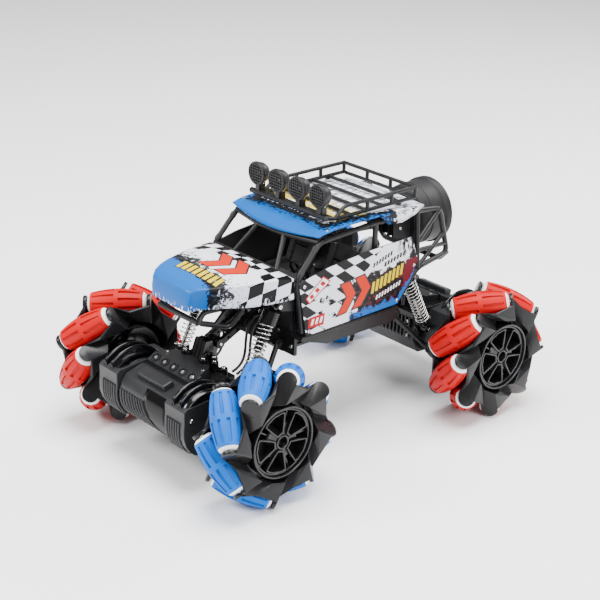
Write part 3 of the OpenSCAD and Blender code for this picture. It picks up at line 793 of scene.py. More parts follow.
def panel_film():
    w = Wrap("panel_film", FILM_WHITE)
    cells = w.chequer(w.sum((2.2 / 140.2, w.y), (-11.2 / 140.2, w.z), 30.8),
                      w.sum((10 / 140.2, w.y), (12.8 / 140.2, w.z), 20.35))
    # squares ahead of a ragged slanted line, white splashes and black specks
    line = w.sum(w.y, (-1.05, w.z), (16, w.splat(0.1, 3)), 137)
    w.paint(w.all_of(cells, w.off(w.step(line, 0, 0.4))), FILM_BLACK)
    splash = w.sum((-0.09, w.math("ABSOLUTE", w.sum(w.y, 29))), (9, w.splat(0.09, 71)), -3.9)
    w.paint(w.all_of(w.step(splash, 0, 0.1), w.step(w.sum((-1.0, w.z), 148), 0, 1)), FILM_WHITE)
    w.paint(w.step(w.splat(0.45, 9), 0.655), FILM_BLACK)
    corner = w.step(w.sum(w.y, (0.8, w.z), -184), 0, 7)
    w.paint(w.all_of(corner, w.step(w.splat(0.3, 81, (1, 1, 0.5)), 0.49)), FILM_BLACK)
    # dark ground of the rear half, up to a ragged slanted edge
    ground = w.sum((1.0, w.z), (-0.12, w.y), (30, w.splat(0.13, 4)), -159)
    aft = w.sum(w.y, (24, w.splat(0.16, 6)), (0.35, w.z), -58)
    dark = w.all_of(w.off(w.step(ground, 0, 0.4)), w.step(aft, 0, 0.4))
    w.paint(dark, FILM_BLACK)
    w.paint(w.all_of(dark, w.step(w.splat(0.3, 14), 0.56)), FILM_GREY)
    # maroon flare towards the rear
    flare = w.sum(w.y, (30, w.splat(0.12, 31)), (-0.1, w.z), -62)
    w.paint(w.all_of(w.step(flare, 0, 0.5), w.step(w.sum((-1.0, w.z), 150.5), 0, 0.5)),
            FILM_MAROON)
    w.paint(w.all_of(dark, w.step(w.splat(0.2, 51), 0.57)), FILM_MAROON)
    # blue along the lower rear edge
    edge_a = w.sum((1.0, w.z), (26, w.splat(0.2, 41)), -130)
    edge_b = w.sum((1.25, w.y), (-1.0, w.z), (-30, w.splat(0.2, 41)), 63)
    low = w.off(w.step(edge_a, 0, 0.4))
    rim = w.math("MAXIMUM", w.all_of(low, w.step(w.y, -4, 1)), w.step(edge_b, 0, 0.4))
    w.paint(w.all_of(rim, w.step(w.sum((-1.0, w.z), 141), 0, 3)), FILM_BLUE)
    w.paint(w.all_of(rim, w.step(w.sum(w.splat(0.5, 61), (-0.004, w.y)), 0.5)), FILM_BLACK)
    return w.finish()


def roof_film():
    w = Wrap("roof_film", FILM_WHITE)
    # grey and black streaks along the car, and a yellow patch
    w.paint(w.step(w.splat(0.2, 7, (1, 0.3, 1)), 0.545), (0.25, 0.26, 0.3))
    w.paint(w.step(w.splat(0.22, 13, (1, 0.35, 1)), 0.575), FILM_BLACK)
    yellow = w.all_of(w.step(w.splat(0.07, 23, (0.6, 1, 1)), 0.5),
                      w.step(w.sum((-1.0, w.math("ABSOLUTE", w.sum(w.y, -6))), 17), 0, 1))
    w.paint(w.all_of(yellow, w.step(w.splat(0.3, 29), 0.42)), FILM_YELLOW)
    # blue visor and edges with torn dark fringes
    side = w.math("ABSOLUTE", w.x)
    reach = w.ramp(w.y, -20, 45, 9, 3)
    edge = w.math("MAXIMUM", w.sum((-1.0, w.y), -24.5), w.sum(side, reach, -58))
    edge = w.math("MINIMUM", edge, w.sum((-1.0, w.y), 46))
    w.paint(w.step(w.sum((0.036, edge), w.splat(0.3, 2)), 0.24), FILM_BLACK)
    w.paint(w.step(w.sum((0.02, edge), w.splat(0.34, 5)), 0.56), FILM_BLUE)
    w.paint(w.step(w.sum((0.055, edge), w.splat(0.28, 5)), 0.85), FILM_BLUE)
    return w.finish()


def grown(outline, by):
    """A 2D outline moved outward by a distance."""
    n = len(outline)
    pts = [Vector(p) for p in outline]
    area = sum(pts[i].x * pts[(i + 1) % n].y - pts[(i + 1) % n].x * pts[i].y for i in range(n))
    sign = 1 if area > 0 else -1
    out = []
    for i in range(n):
        a = (pts[i] - pts[i - 1]).normalized()
        b = (pts[(i + 1) % n] - pts[i]).normalized()
        na, nb = Vector((a.y, -a.x)) * sign, Vector((b.y, -b.x)) * sign
        m = (na + nb).normalized()
        out.append(tuple(pts[i] + m * (by / max(0.4, m.dot(na)))))
    return out


def slanted(u, v, width, height, lean):
    """A leaning bar with its lower left corner at (u, v)."""
    return [(u, v), (u + width, v), (u + width + lean, v + height), (u + lean, v + height)]


def chevron(u, v, width, height, arm, lean):
    """An arrow-like bent bar with a lean to its whole shape."""
    raw = [(0, 0), (arm, 0), (width, height / 2), (arm, height), (0, height),
           (width - arm, height / 2)]
    return [(u + x + lean * y / height, v + y) for x, y in raw]


def cut_faces(outline):
    """Splits a 2D outline into small triangles, as points and faces."""
    bm = bmesh.new()
    flat = [Vector((x, y, 0)) for x, y in outline]
    verts = [bm.verts.new(v) for v in flat]
    for a, b, c in tessellate_polygon([flat]):
        bm.faces.new((verts[a], verts[b], verts[c]))
    for _ in range(2):
        bmesh.ops.subdivide_edges(bm, edges=bm.edges, cuts=1, use_grid_fill=True)
    bmesh.ops.triangulate(bm, faces=bm.faces)
    bm.verts.index_update()
    points = [tuple(v.co) for v in bm.verts]
    faces = [tuple(v.index for v in f.verts) for f in bm.faces]
    bm.free()
    return points, faces


def add_print(shape, outline, to_point, lift, mark):
    """Lays a printed patch on a surface; to_point maps (u, v, lift) to 3D."""
    points, faces = cut_faces(outline)
    shape.add([to_point(u, v, lift) for u, v, _ in points], faces, mark)


def printed(art, line, to_point, edge, lift, color):
    """A patch of print over a dark one that stands out around it."""
    add_print(art, grown(line, edge), to_point, lift, DARK)
    add_print(art, line, to_point, 2 * lift, color)


def bars(count, start, step, *bar):
    """Outlines of a row of leaning bars."""
    return [slanted(start[0] + step[0] * i, start[1] + step[1] * i, *bar) for i in range(count)]


def make_shell(name, sections, film, node):
    """A thin printed shell over a list of section lines."""
    shape = Shape()
    shape.grid(sections)
    shell = make(name, shape, f"{film} cabin_black", smooth=50, solid=1.5, inner=1)
    face_outward(shell.data, Vector((0, 0, 1)))
    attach(shell, "car_body")
    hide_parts(node)
    return shell


def hood_print(hood):
    tree = BVHTree.FromPolygons([v.co / MM for v in hood.data.vertices],
                                [tuple(p.vertices) for p in hood.data.polygons])

    def on_hood(u, v, lift):
        hit, normal, _, _ = tree.ray_cast(Vector((u, v, 200)), Vector((0, 0, -1)))
        if hit is None or normal.z < 0.3:
            hit, normal = tree.find_nearest(Vector((u, v, 164)))[:2]
        return hit + normal * lift

    art = Shape()
    for u in (-21, 1):
        line = [(x, -189 - y) for x, y in chevron(u, -111, 25, 32, 13, 7)]
        printed(art, line, on_hood, 1.3, 0.06, ORANGE)
    for line in bars(8, (-19, -129.5), (7, 0), 4.6, 12.5, -3.5):
        printed(art, line, on_hood, 0.9, 0.06, YELLOW)
    make("hood_print", art, PRINTS, "car_body", weld=False)


def door_print():
    badge = [(-54.9, 143.1), (-50.4, 137.1), (-26.7, 152.6), (-35.5, 159.2)]
    lower_badge = [(-51.2, 115.3), (-33.6, 114.7), (-32.4, 125.2), (-50.6, 124.6)]
    squares = []
    for t in (0.22, 0.5, 0.78):
        a = Vector(badge[0]).lerp(Vector(badge[3]), t)
        b = Vector(badge[1]).lerp(Vector(badge[2]), t)
        w = Vector((1.5, 1.1))
        squares.append([tuple(a.lerp(b, share) + w * sign)
                        for share, sign in ((0.26, -1), (0.74, -1), (0.74, 1), (0.26, 1))])
    # lift from the door, color and outlines of the plain patches
    patches = ((0.06, WHITE, bars(9, (27, 121.6), (3.4, 0.85), 1.7, 4.2, 1.2)),
               (0.06, DARK, bars(7, (22, 152.6), (3.4, 1.05), 2.3, 4.2, 0.9)),
               (0.06, DARK, bars(7, (35.5, 150.3), (3.7, 0.85), 2.6, 4.2, 0.9)),
               (0.06, RED, [badge, lower_badge]),
               (0.1, WHITE, [grown(badge, -1.2)]),
               (0.1, WHITE, bars(4, (-47, 133.6), (4.6, 3.2), 3.0, 3.6, 1.4)),
               (0.1, WHITE, bars(3, (-48.4, 117.3), (4.9, 0), 2.5, 5.4, 1.7)),
               (0.14, RED, squares))
    art = Shape()
    for s in (1, -1):
        def on_door(u, v, lift, s=s):
            return (s * (PANEL_X + lift), u, v)

        for u in (-18, -0.5):
            line = [(a, b + (a + 18) * 0.1) for a, b in chevron(u, 118.5, 19, 27, 10, 3)]
            printed(art, line, on_door, 1.3, 0.04, ORANGE)
        for line in bars(8, (21, 128.7), (4.9, 1.3), 3.1, 10.5, 1.6):
            printed(art, line, on_door, 0.7, 0.04, YELLOW)
        for lift, color, lines in patches:
            for line in lines:
                add_print(art, line, on_door, lift, color)
    make("door_print", art, PRINTS, "car_body", weld=False)


def make_shells():
    LOOKS.update(hood_film=hood_film(), panel_film=panel_film(), roof_film=roof_film())
    hood_print(make_shell("hood_shell", [hood_section(s) for s in between(HOOD, 3)],
                          "hood_film", "hood"))
    shape = Shape()
    for s in (1, -1):
        shape.plate(PANEL, s * (PANEL_X - SHELL_T), s * (PANEL_X - 0.4), 1)
        shape.plate(PANEL, s * (PANEL_X - 0.4), s * PANEL_X, 0)
    make("door_panels", shape, "panel_film cabin_black", "car_body", ["side_panels"])
    door_print()
    make_shell("roof_shell", [roof_section(s) for s in between(ROOF, 3)], "roof_film",
               "roof_panel")


# ---------- axles ----------

AXLE_Y, AXLE_Z = 130.0, 60.0
CAN = (-27.0, 0.0)      # axis of the finned covers, from the wheel axis
MID_FRONT = [(-43, 16), (-47.6, 10), (-49, 5), (-49.4, -1), (-48.6, -8), (-45.5, -15),
             (-40, -21), (-32, -25)]
END_FRONT = [(-51, 6), (-51.6, 0), (-51.4, -7), (-49.2, -14), (-45, -20.5), (-40, -24.5)]


def at_end(end):
    """Places a shape drawn for the front of the car at either end."""
    return turned(pi if end == "rear" else 0, "Z")


def axle_place(end):
    return at_end(end) @ shifted(0, -AXLE_Y, AXLE_Z)


def along(line, t):
    """The point at share t of a line's length."""
    pts = [Vector(p) for p in line]
    runs = [(b - a).length for a, b in zip(pts, pts[1:])]
    left = t * sum(runs)
    for a, b, run in zip(pts, pts[1:], runs):
        if left <= run:
            return a.lerp(b, left / run)
        left -= run
    return pts[-1]


def screw(shape, place, x, y, z, r=1.7, axis="z", mark=0):
    """Round screw head with a cross recess, standing on (x, y, z). Its axis is y, -y, z or -z, or
    the side it faces: 1 for the car's left, -1 for its right."""
    quarters, about = {"z": (0, "X"), "-z": (2, "X"), "y": (-1, "X"), "-y": (1, "X"),
                       1: (1, "Y"), -1: (-1, "Y")}[axis]
    shape.at(place @ shifted(x, y, z) @ turned(quarters * pi / 2, about))
    shape.lathe([(r, -0.2), (r, 0.45), (r * 0.86, 0.85), (r * 0.5, 1), (0.01, 1)], 20, mark, "z")
    for a, b in ((r * 0.56, r * 0.14), (r * 0.14, r * 0.56)):
        shape.box((-a, -b, 0.7), (a, b, 1.04), mark + 1)
    shape.at()


def axle_case(end, place, body):
    """Grey cast halves: middle barrel and the two end blocks."""
    shape = Shape().at(place)
    barrel = MID_FRONT[::-1] + [(-25, 21), (-25, 15), (20, 15), (24, -8), (16, -23), (-10, -25)]
    shape.plate(barrel, -32.4, 32.4, 0)
    strip = [(-20.5, 14), (-21, 23), (-12.4, 28), (-11.5, 27.2), (-11.5, 14)]
    shape.plate(strip, -32, 32, 0)
    for s in (1, -1):
        block = [(-48, 19.5), (-51, 17), *END_FRONT, (-32, -27), (8, -22), (15, -10), (14, 10),
                 (6, 20), (-14, 22)]
        shape.plate(block, s * 33.6, s * 60, 0)
    # trapezoid plate behind the strip, wider at its middle
    shape.prism([(-29, -11.5, 27.6), (29, -11.5, 27.6), (24, 2, 28.2), (13, 11, 28.2),
                 (-13, 11, 28.2), (-24, 2, 28.2)], (0, 0, -9), 0)
    shape.prism([(-31.5, -11, 20), (31.5, -11, 20), (31.5, 24, 18), (-31.5, 24, 18)],
                (0, 0, -6), 1)
    # pad on the sloping top
    shape.at(place @ shifted(0, -35, 18.5) @ turned(radians(15), "X"))
    rows = [[(-x, -y, z), (x, -y, z), (x, y, z), (-x, y, z)]
            for x, y, z in ((19, 5, -2), (19, 5, 4.4), (18, 4, 5.2))]
    shape.grid(rows, 0, ring=True)
    shape.add(rows[-1], [(0, 1, 2, 3)], 0)
    make(f"axle_case_{end}", shape, "housing_grey black_plastic", body,
         [f"axle_housing_{end}"], bevel=0.9, smooth=30)


def axle_core(end, place, body):
    """Black core seen in the groove and between the blocks, and the axle tubes."""
    core = Shape().at(place)
    core.plate([(-46, -13), (-46.5, 6), (-41, 14.6), (-22, 19.5), (-10, 22), (12, 22), (22, 12),
                (20, -8), (12, -21), (-28, -23)], -36, 36)
    for s in (1, -1):
        core.at(place @ mirrored(s))
        core.lathe([(13, 56), (13, 72), (12.4, 73), (11.5, 74), (8, 74), (8, 77.6), (7.4, 78),
                    (3.4, 78)], 48, 0)
        core.lathe([(14.2, 60), (14.2, 62.5), (13, 63)], 48, 0)
        core.plate([(12, -18), (26, -16), (29, -10), (24, -4), (12, -4)], 57.8, 61.0)
        core.plate([(12, -4), (12, 12), (22, 12), (26, 7), (22, 0)], 35, 38)
        core.plate([(8, -20), (14, -12), (14, 6), (4, 14), (-4, 14), (-4, -18)], 52, 60.6)
    make(f"axle_core_{end}", core, "black_plastic", body, bevel=0.6)


def axle_ribs(end, place, body):
    """Curved ribs on the front faces."""
    ribs = Shape().at(place)
    for s in (1, -1):
        for i in range(6):
            x0 = 37.2 + 3.2 * i
            points = [along(END_FRONT, t / 9) for t in range(10)]
            ribs.tube([(s * x0, p.x - 0.25, p.y) for p in points], 1.15, sides=8)
    lower = [(-49, 4.5)] + MID_FRONT[3:]
    for i in range(9):
        lean = 25.0 * (i / 8) ** 1.3
        path = []
        for t in range(13):
            p = along(lower, t / 12)
            path.append((-30.2 + 3.7 * i + lean * (t / 12) ** 1.2, p.x - 0.3, p.y))
        ribs.tube(path, 1.25, sides=8)
    make(f"axle_ribs_{end}", ribs, "housing_grey", body, smooth=50)


def axle_gloss(end, place, body):
    """Glossy panel that narrows towards the bottom, beside the ribs."""
    gloss = Shape().at(place)
    line = [(-43.8, 15.2), (-48.2, 9.4)] + MID_FRONT[2:]
    rows = []
    for t in range(17):
        f = t / 16
        p = along(line, f)
        grow = max(0.0, (f - 0.28) / 0.72)
        left, right = 1.5 + 2.0 * min(1, f / 0.28) + 27.0 * grow ** 1.15, 32.3
        rows.append([(left + (right - left) * i / 8, p.x - 0.9, p.y + 0.1) for i in range(9)])
    gloss.grid(rows, 0)
    make(f"axle_gloss_{end}", gloss, "panel_black", body, solid=0.8, smooth=60)


def motor_covers(end, place, body):
    """Finned covers over the motors."""
    fins = Shape()
    for s in (1, -1):
        fins.at(place @ shifted(0, *CAN) @ mirrored(s))
        profile = [(26, 36.4), (28, 37.4), (28.4, 41.4), (32.4, 42.0), (33, 42.6), (33, 43.6),
                   (32.4, 44.4), (28.6, 45), (28.4, 50.4), (32.4, 51), (33, 51.6), (33, 52.6),
                   (32.4, 53.4), (28.6, 54), (28, 58.4), (27, 59.4), (22, 59.6)]
        rows = []
        for x_r, x in profile:
            lo = 34 + 12 * max(0.0, (x_r - 28.4) / 5)
            row = []
            for i in range(33):
                a = radians(lo + (152 - lo) * i / 32)
                row.append((x, -x_r * cos(a), x_r * sin(a)))
            rows.append(row)
        fins.grid(rows, 0)
        fins.lathe([(22.4, 59.4), (3, 59.4)], 40, 0)
    make(f"motor_covers_{end}", fins, "gloss_black", body, solid=1.2, smooth=50)


# round bosses behind the strip: x, y, radius, height
BOSSES = ((12.5, 5, 3.6, 32), (20, 11, 3.4, 30.5), (27, 15, 3.6, 26), (12, 17, 3.0, 30))


def axle_tower(end, place, body):
    """Tower, ear and ridges."""
    tower = Shape().at(place)
    tower.plate([(4, 24), (8, 32), (12, 43), (19, 43), (21, 34), (24, 18)], -7.0, 7.0)
    tower.plate([(12, 30), (14, 41), (24, 44), (29, 42), (30, 37), (24, 24), (22, 14)], -4.2, 4.2)
    for x in (-7.3, -2.6, 2.0, 6.4):
        tower.plate([(3, 24), (7.2, 32.2), (11.6, 43.4), (14, 43.6), (10, 32), (8, 24)], x,
                    x + 0.9)
    for s in (1, -1):
        tower.plate([(2, 20), (4, 31), (12, 34), (20, 31), (22, 20)], s * 7.2, s * 8.6)
        for x, y, r, h in BOSSES:
            tower.at(place @ shifted(s * x, y, 0))
            tower.lathe([(r + 0.5, 16), (r, h - 0.8), (r - 0.5, h), (0.01, h)], 24, 0, "z")
        tower.at(place)
        tower.prism([(s * 9, 4, 28), (s * 28, 12, 24), (s * 28, 16, 24), (s * 9, 8, 28)],
                    (0, 0, -8))
    make(f"axle_tower_{end}", tower, "gloss_black", body, bevel=0.5)


def axle_screws(end, place, body):
    """Hexagonal recesses in the strip, and the screws."""
    small = Shape()
    tilt = shifted(0, -16.6, 25.6) @ turned(radians(30), "X")
    for k in range(-2, 3):
        small.at(place @ tilt @ shifted(k * 12.4, 0, 0))
        # raised rim, floor disc and screw of each recess; the floor's black plastic, darker than
        # the housing, is painted shade in the hollow
        for mark, profile in ((2, [(4.8, -0.6), (4.8, 0.6), (4.4, 1.0), (3.8, 1.0), (3.6, 0.6),
                                   (3.6, 0.1)]),
                              (1, [(3.7, 0.12), (0.01, 0.12)]),
                              (0, [(2.0, 0.1), (2.0, 0.5), (1.6, 0.8), (0.01, 0.8)])):
            small.lathe(profile, 6, mark, "z")
    for s in (1, -1):
        for x, y, _, h in BOSSES:
            screw(small, place, s * x, y, h - 0.1, 1.9)
        screw(small, place, s * 24.5, -5, 28.1, 1.6)
        screw(small, place, s * 61.0, 23, -10, 1.6, s)
        for y, z in ((10, -14), (-30, -16), (-44, 8)):
            screw(small, place, s * 60.4, y, z, 1.7, s)
        for y, z in ((-38, -25), (-2, -22.6)):
            screw(small, place, s * 46, y, z, 1.7, "-z")
    for x in (-24, 24):
        for y, z in ((23.2, 8), (23.6, -6)):
            screw(small, place, x, y, z, 1.6, "y")
    make(f"axle_screws_{end}", small, "steel black_plastic housing_grey", body, smooth=30)


def axle_back(end, place, body):
    """Cooling ribs on the back of the case and the pins of the lower eyes."""
    back = Shape().at(place)
    for i in range(12):
        back.plate([(20, 14), (24.6, 13), (25.4, -7), (22, -12), (18, -10)], -27.8 + 4.8 * i,
                   -26.2 + 4.8 * i)
    # middle of each pin, and its ends from there
    for x, y, z, x0, x1 in ((56, 24, -10, -4.5, 2), (43, 19.5, 7, -6, 6),
                            (-56, 24, -10, -4.5, 2), (-43, 19.5, 7, -6, 6),
                            (0, 26, 38, -9.9, 9.9)):
        back.at(place @ shifted(x, y, z))
        back.lathe([(0.01, x0), (1.45, x0), (1.45, x1), (0.01, x1)], 16, 1)
    make(f"axle_back_{end}", back, "black_plastic steel", body, bevel=0.3)


def make_axle(end):
    for part in (axle_case, axle_core, axle_ribs, axle_gloss, motor_covers, axle_tower,
                 axle_screws, axle_back):
        part(end, axle_place(end), f"axle_{end}")


# ---------- suspension ----------

SHOCK_X = 44.0
SHOCK_TOP = Vector((-74.5, 138))
SHOCK_END = Vector((-110.5, 67))
SHOCK_LEN = (SHOCK_END - SHOCK_TOP).length
SEAT_LOW = 12.0         # lower spring seat above the lower eye
SEAT_TOP = 17.0         # upper spring seat below the upper eye


def shock_place(end, s):
    """Frame of one coil-over: Z runs up its axis, with the upper eye at 0."""
    run = SHOCK_END - SHOCK_TOP
    lean = atan2(-run.x, -run.y)
    return at_end(end) @ shifted(s * SHOCK_X, SHOCK_TOP.x, SHOCK_TOP.y) @ turned(-lean, "X")


def eye(shape, bore, mark):
    shape.lathe([(bore, -3), (3.6, -3), (4, -2.6), (4, 2.6), (3.6, 3), (bore, 3)], 28, mark)


def make_shocks(end):
    upper, lower, coil = Shape(), Shape(), Shape()
    for s in (1, -1):
        place = shock_place(end, s)
        upper.at(place)
        cap = [(0.01, -3.6), (3.4, -4), (4.6, -4.6), (7.0, -5), (7.8, -5.6)]
        for i in range(5):
            z = -5.8 - 2.1 * i
            cap += [(8, z), (8, z - 1.0), (7.5, z - 1.2), (7.5, z - 1.9)]
        cap += [(8, -16.3), (8, -SEAT_TOP + 0.3), (7.7, -SEAT_TOP), (3.8, -SEAT_TOP),
                (3.6, -SEAT_TOP - 0.4), (3.6, -41.6), (3.2, -42), (1.9, -42), (1.9, -39)]
        upper.lathe(cap, 48, 0, "z")
        eye(upper, 1.6, 0)
        low = -SHOCK_LEN
        lower.at(place @ shifted(0, 0, low))
        eye(lower, 1.85, 1)
        lower.lathe([(2.6, 3.4), (2.6, 9.6), (3.4, 10), (7.1, 10), (7.5, 10.4), (7.5, 11.6),
                     (7.1, 12), (2.0, 12), (1.7, 12.4)], 40, 1, "z")
        lower.lathe([(1.7, 12), (1.7, 50)], 20, 0, "z")
        # wound spring, closed at both ends
        top, bottom = -SEAT_TOP - 0.9, low + SEAT_LOW + 0.9
        turns, steps = 14.5, 24
        path = []
        for i in range(int(turns * steps) + 1):
            f = i / (turns * steps)
            flat = 1.2 / turns
            g = min(1, max(0, (f - flat * 0.5) / (1 - flat)))
            a = tau * turns * f
            z = bottom + (top - bottom) * g
            path.append(place @ Vector((5.95 * cos(a), 5.95 * sin(a), z)))
        coil.tube(path, 0.62, sides=8)
    make(f"shock_body_{end}", upper, "gloss_black", f"shock_upper_{end}",
         [f"shock_bodies_{end}"], smooth=40)
    make(f"shock_rod_{end}", lower, "spring_steel gloss_black",
         f"shock_lower_{end}", [f"shock_rods_{end}"], smooth=40)
    spring = make(f"coil_{end}", coil, "spring_steel", smooth=80, weld=False)
    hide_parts(f"springs_{end}")
    place = shock_place(end, 1)
    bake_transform(spring)


def make_leads():
    """Each hanging lead in two halves along one route, an upper and a lower."""
    route = [(-59, 113), (-65, 116.5), (-72, 116), (-77.5, 112), (-80.5, 105), (-81.5, 96),
             (-82, 87), (-84.5, 79), (-90, 74), (-96, 72)]
    halves = (("upper", route[:6], "car_body", "arm_front"),
              ("lower", route[5:], "arm_front", "axle_front"))
    for number, x in enumerate((-21, -15, 15, 21), 1):
        for half, part, a, b in halves:
            line = [Vector(p) for p in rounded([(x, y, z) for y, z in part], 4, 3)]
            shape = Shape()
            shape.tube(line, 1.25, sides=12)
            lead = make(f"lead_{half}_{number}", shape, "lead_black", smooth=60)
            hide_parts("motor_leads")
            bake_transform(lead)


def dress_nodes():
    """Materials and softened edges for the nodes that are kept as packed."""
    kept = {"chassis": "satin_black", "battery": "battery_wrap"}
    for end in ENDS:
        kept.update({f"upper_arm_{end}": "black_plastic", f"lower_links_{end}": "black_plastic",
                     f"motors_{end}": "steel"})
    for name, look in kept.items():
        node = frame["nodes"][name]
        node.data.materials.clear()
        node.data.materials.append(LOOKS[look])
        bevel_edges(node, 0.35, 40)


# ---------- roll cage ----------

TUBE_R = 2.5
CAGE_X = 55.2
SILL_BAR = Vector((CAGE_X, -60.5, 160))
VISOR_BAR = Vector((54, -36, 187))
ROOF_BAR = Vector((53, 30, 190))
TAIL_TOP = Vector((46, 88, 187))
TAIL_REAR = Vector((45, 118, 183))
TAIL_LOW = Vector((45, 131, 138))
TAIL_ROOT = Vector((CAGE_X, 82, 137))


def make_cage():
    shape = Shape()
    foot = 110.9
    for s in (1, -1):
        shape.at(mirrored(s))
        sides = 14
        loop = [(CAGE_X, -54.5, foot), SILL_BAR, VISOR_BAR, ROOF_BAR, TAIL_TOP, TAIL_REAR,
                TAIL_LOW, TAIL_ROOT, (54, 60, foot + 0.6)]
        shape.tube(loop, TUBE_R, sides, round_r=7)
        for path, r in (([(CAGE_X, 28, foot), ROOF_BAR], 1), ([TAIL_TOP, TAIL_ROOT], 1),
                        ([TAIL_ROOT.lerp(TAIL_TOP, 0.45), TAIL_REAR], 1),
                        ([TAIL_ROOT, TAIL_LOW.lerp(TAIL_REAR, 0.45)], 0.8),
                        ([TAIL_ROOT.lerp(TAIL_TOP, 0.3), TAIL_LOW.lerp(TAIL_REAR, 0.2)], 0.8),
                        ([(28.6, -60.5, 160), (17, -42, 185.5)], 0.9),
                        ([(30, -60.5, 160), (30, -60, 138)], 1),
                        ([(30, -126, 129), (28, -112, 139.4)], 0.9),
                        ([(28, -104, 139), (38, -104, 139)], 1)):
            shape.tube(path, TUBE_R * r * 0.99, sides)
        shape.tube([(30, -60, 138), (24, -134, 140), (26, -141, 133), (33, -114, 125),
                    (38, -104, 139)], TUBE_R * 0.99, sides, round_r=5)
        # moulded sleeves and clamps at the joints
        for p in (SILL_BAR, VISOR_BAR, ROOF_BAR, TAIL_TOP):
            for q in (SILL_BAR, VISOR_BAR, ROOF_BAR, TAIL_TOP):
                if 20 < (q - p).length < 70:
                    d = (q - p).normalized()
                    shape.tube([p + d * 4.5, p + d * 8.5], TUBE_R + 0.35, sides)
    shape.at()
    shape.tube([(-26, -141, 133), (26, -141, 133)], TUBE_R * 0.99, 14)
    for path in ([(-VISOR_BAR.x, *VISOR_BAR[1:]), (-17, -42, 185.5), (17, -42, 185.5), VISOR_BAR],
                 [(-SILL_BAR.x, *SILL_BAR[1:]), SILL_BAR], [(-ROOF_BAR.x, *ROOF_BAR[1:]), ROOF_BAR],
                 [(-TAIL_TOP.x, *TAIL_TOP[1:]), TAIL_TOP],
                 [(-TAIL_LOW.x, *TAIL_LOW[1:]), (-36, 131, 129), (36, 131, 129), TAIL_LOW]):
        shape.tube(path, TUBE_R * 0.99, 14, round_r=4)
    make("cage_tubes", shape, "cage_black", "car_body", ["roll_cage"], smooth=50,
         weld=False)


# ---------- roof rack and lamps ----------

RACK_X, RACK_LOW, RACK_TOP, RACK_R = 46.0, 200.4, 209.5, 1.7
LAMP_X = (-39.9, -13.3, 13.3, 39.9)
LAMP_Y, LAMP_Z, LAMP_R = -27.0, 221.49, 10.49


def make_rack():
    shape = Shape()
    r, n = RACK_R, 12
    for s in (1, -1):
        shape.at(mirrored(s))
        shape.tube([(RACK_X, -12, RACK_LOW), (RACK_X, -1, RACK_TOP), (RACK_X, 84, RACK_TOP)], r, n,
                   round_r=4)
        shape.tube([(RACK_X, -24, 204), (RACK_X, -12, RACK_LOW), (RACK_X, 84, RACK_LOW)], r, n,
                   round_r=4)
        for x, y in ((RACK_X, 26), (RACK_X, 55), (RACK_X, 84), (15, 84)):
            shape.tube([(x, y, RACK_LOW), (x, y, RACK_TOP)], r, n)
        # feet that clip the rack to the roof
        for y in (7, 64):
            shape.tube([(RACK_X, y, RACK_LOW), (RACK_X, y, 197.2)], 2.3, n)
    shape.at()
    shape.tube([(-RACK_X, 84, RACK_TOP), (RACK_X, 84, RACK_TOP)], r, n)
    for y in (-12, 7, 26, 45, 64, 84):
        shape.tube([(-RACK_X, y, RACK_LOW), (RACK_X, y, RACK_LOW)], r, n)
    shape.tube([(-49, -24, 204), (49, -24, 204)], TUBE_R, 16)
    make("rack_rods", shape, "cage_black", "car_body", ["roof_rack"], smooth=50,
         weld=False)
    lamps = Shape()
    for x in LAMP_X:
        place = shifted(x, LAMP_Y, LAMP_Z)
        lamps.at(place)
        # housing: open ring in front, round bowl behind
        lamps.lathe([(8.8, 0.9), (8.8, 0.2), (9.3, -0.1), (10.2, 0), (LAMP_R, 0.4), (LAMP_R, 2.6),
                     (10, 3.2), (9.6, 5), (8.6, 8), (6.6, 10.8), (5, 11.8), (0.01, 12)], 40, 0, "y")
        lamps.lathe([(8.9, 0.9), (8.6, 2.6), (7.4, 4.6), (5.2, 6.2), (2.4, 7), (0.01, 7.1)], 40, 1,
                    "y")
        lamps.lathe([(0.01, 3.4), (1.0, 3.6), (1.7, 4.6), (1.7, 6.8)], 16, 2, "y")
        # square grid of the guard
        for i in range(-3, 4):
            half = sqrt(max(0.0, 9.3 ** 2 - (2.5 * i) ** 2))
            lamps.box((2.5 * i - 0.38, 0.25, -half), (2.5 * i + 0.38, 1.0, half), 0)
            lamps.box((-half, 0.1, 2.5 * i - 0.38), (half, 0.85, 2.5 * i + 0.38), 0)
        lamps.at()
        lamps.plate([(-25.2, 203), (-25.2, LAMP_Z - 9.4), (-22, LAMP_Z - 8.6), (-18, LAMP_Z - 7),
                     (-17.4, 203)], x - 2.6, x + 2.6, 0)
        for s in (1, -1):
            lamps.plate([(-23.5, 206), (-24, LAMP_Z - 5), (-20, LAMP_Z - 4), (-19, 206)],
                        x + s * 2.4, x + s * 3.4)
        screw(lamps, Matrix(), x + 3.3, -21.5, LAMP_Z - 8.5, 1.2, 1, 3)
    make("lamps", lamps, "cage_black lamp_glass dark_steel steel black_plastic", "car_body",
         bevel=0.18, smooth=40)


# ---------- cabin and rear ----------

def cushion(shape, place, low, high):
    """A box with inner edge loops, ready to be subdivided into a soft pad."""
    spans = [(p, p + (q - p) * 0.12, (p + q) / 2, q - (q - p) * 0.12, q)
             for p, q in zip(low, high)]
    shape.at(place)
    for axis, turn_low in ((2, False), (1, True), (0, False)):
        u, v = [span for i, span in enumerate(spans) if i != axis]
        for w, turn in ((low[axis], turn_low), (high[axis], not turn_low)):
            rows = [[(*(p, q)[:axis], w, *(p, q)[axis:]) for p in u] for q in v]
            shape.grid(rows[::-1] if turn else rows)
    shape.at()


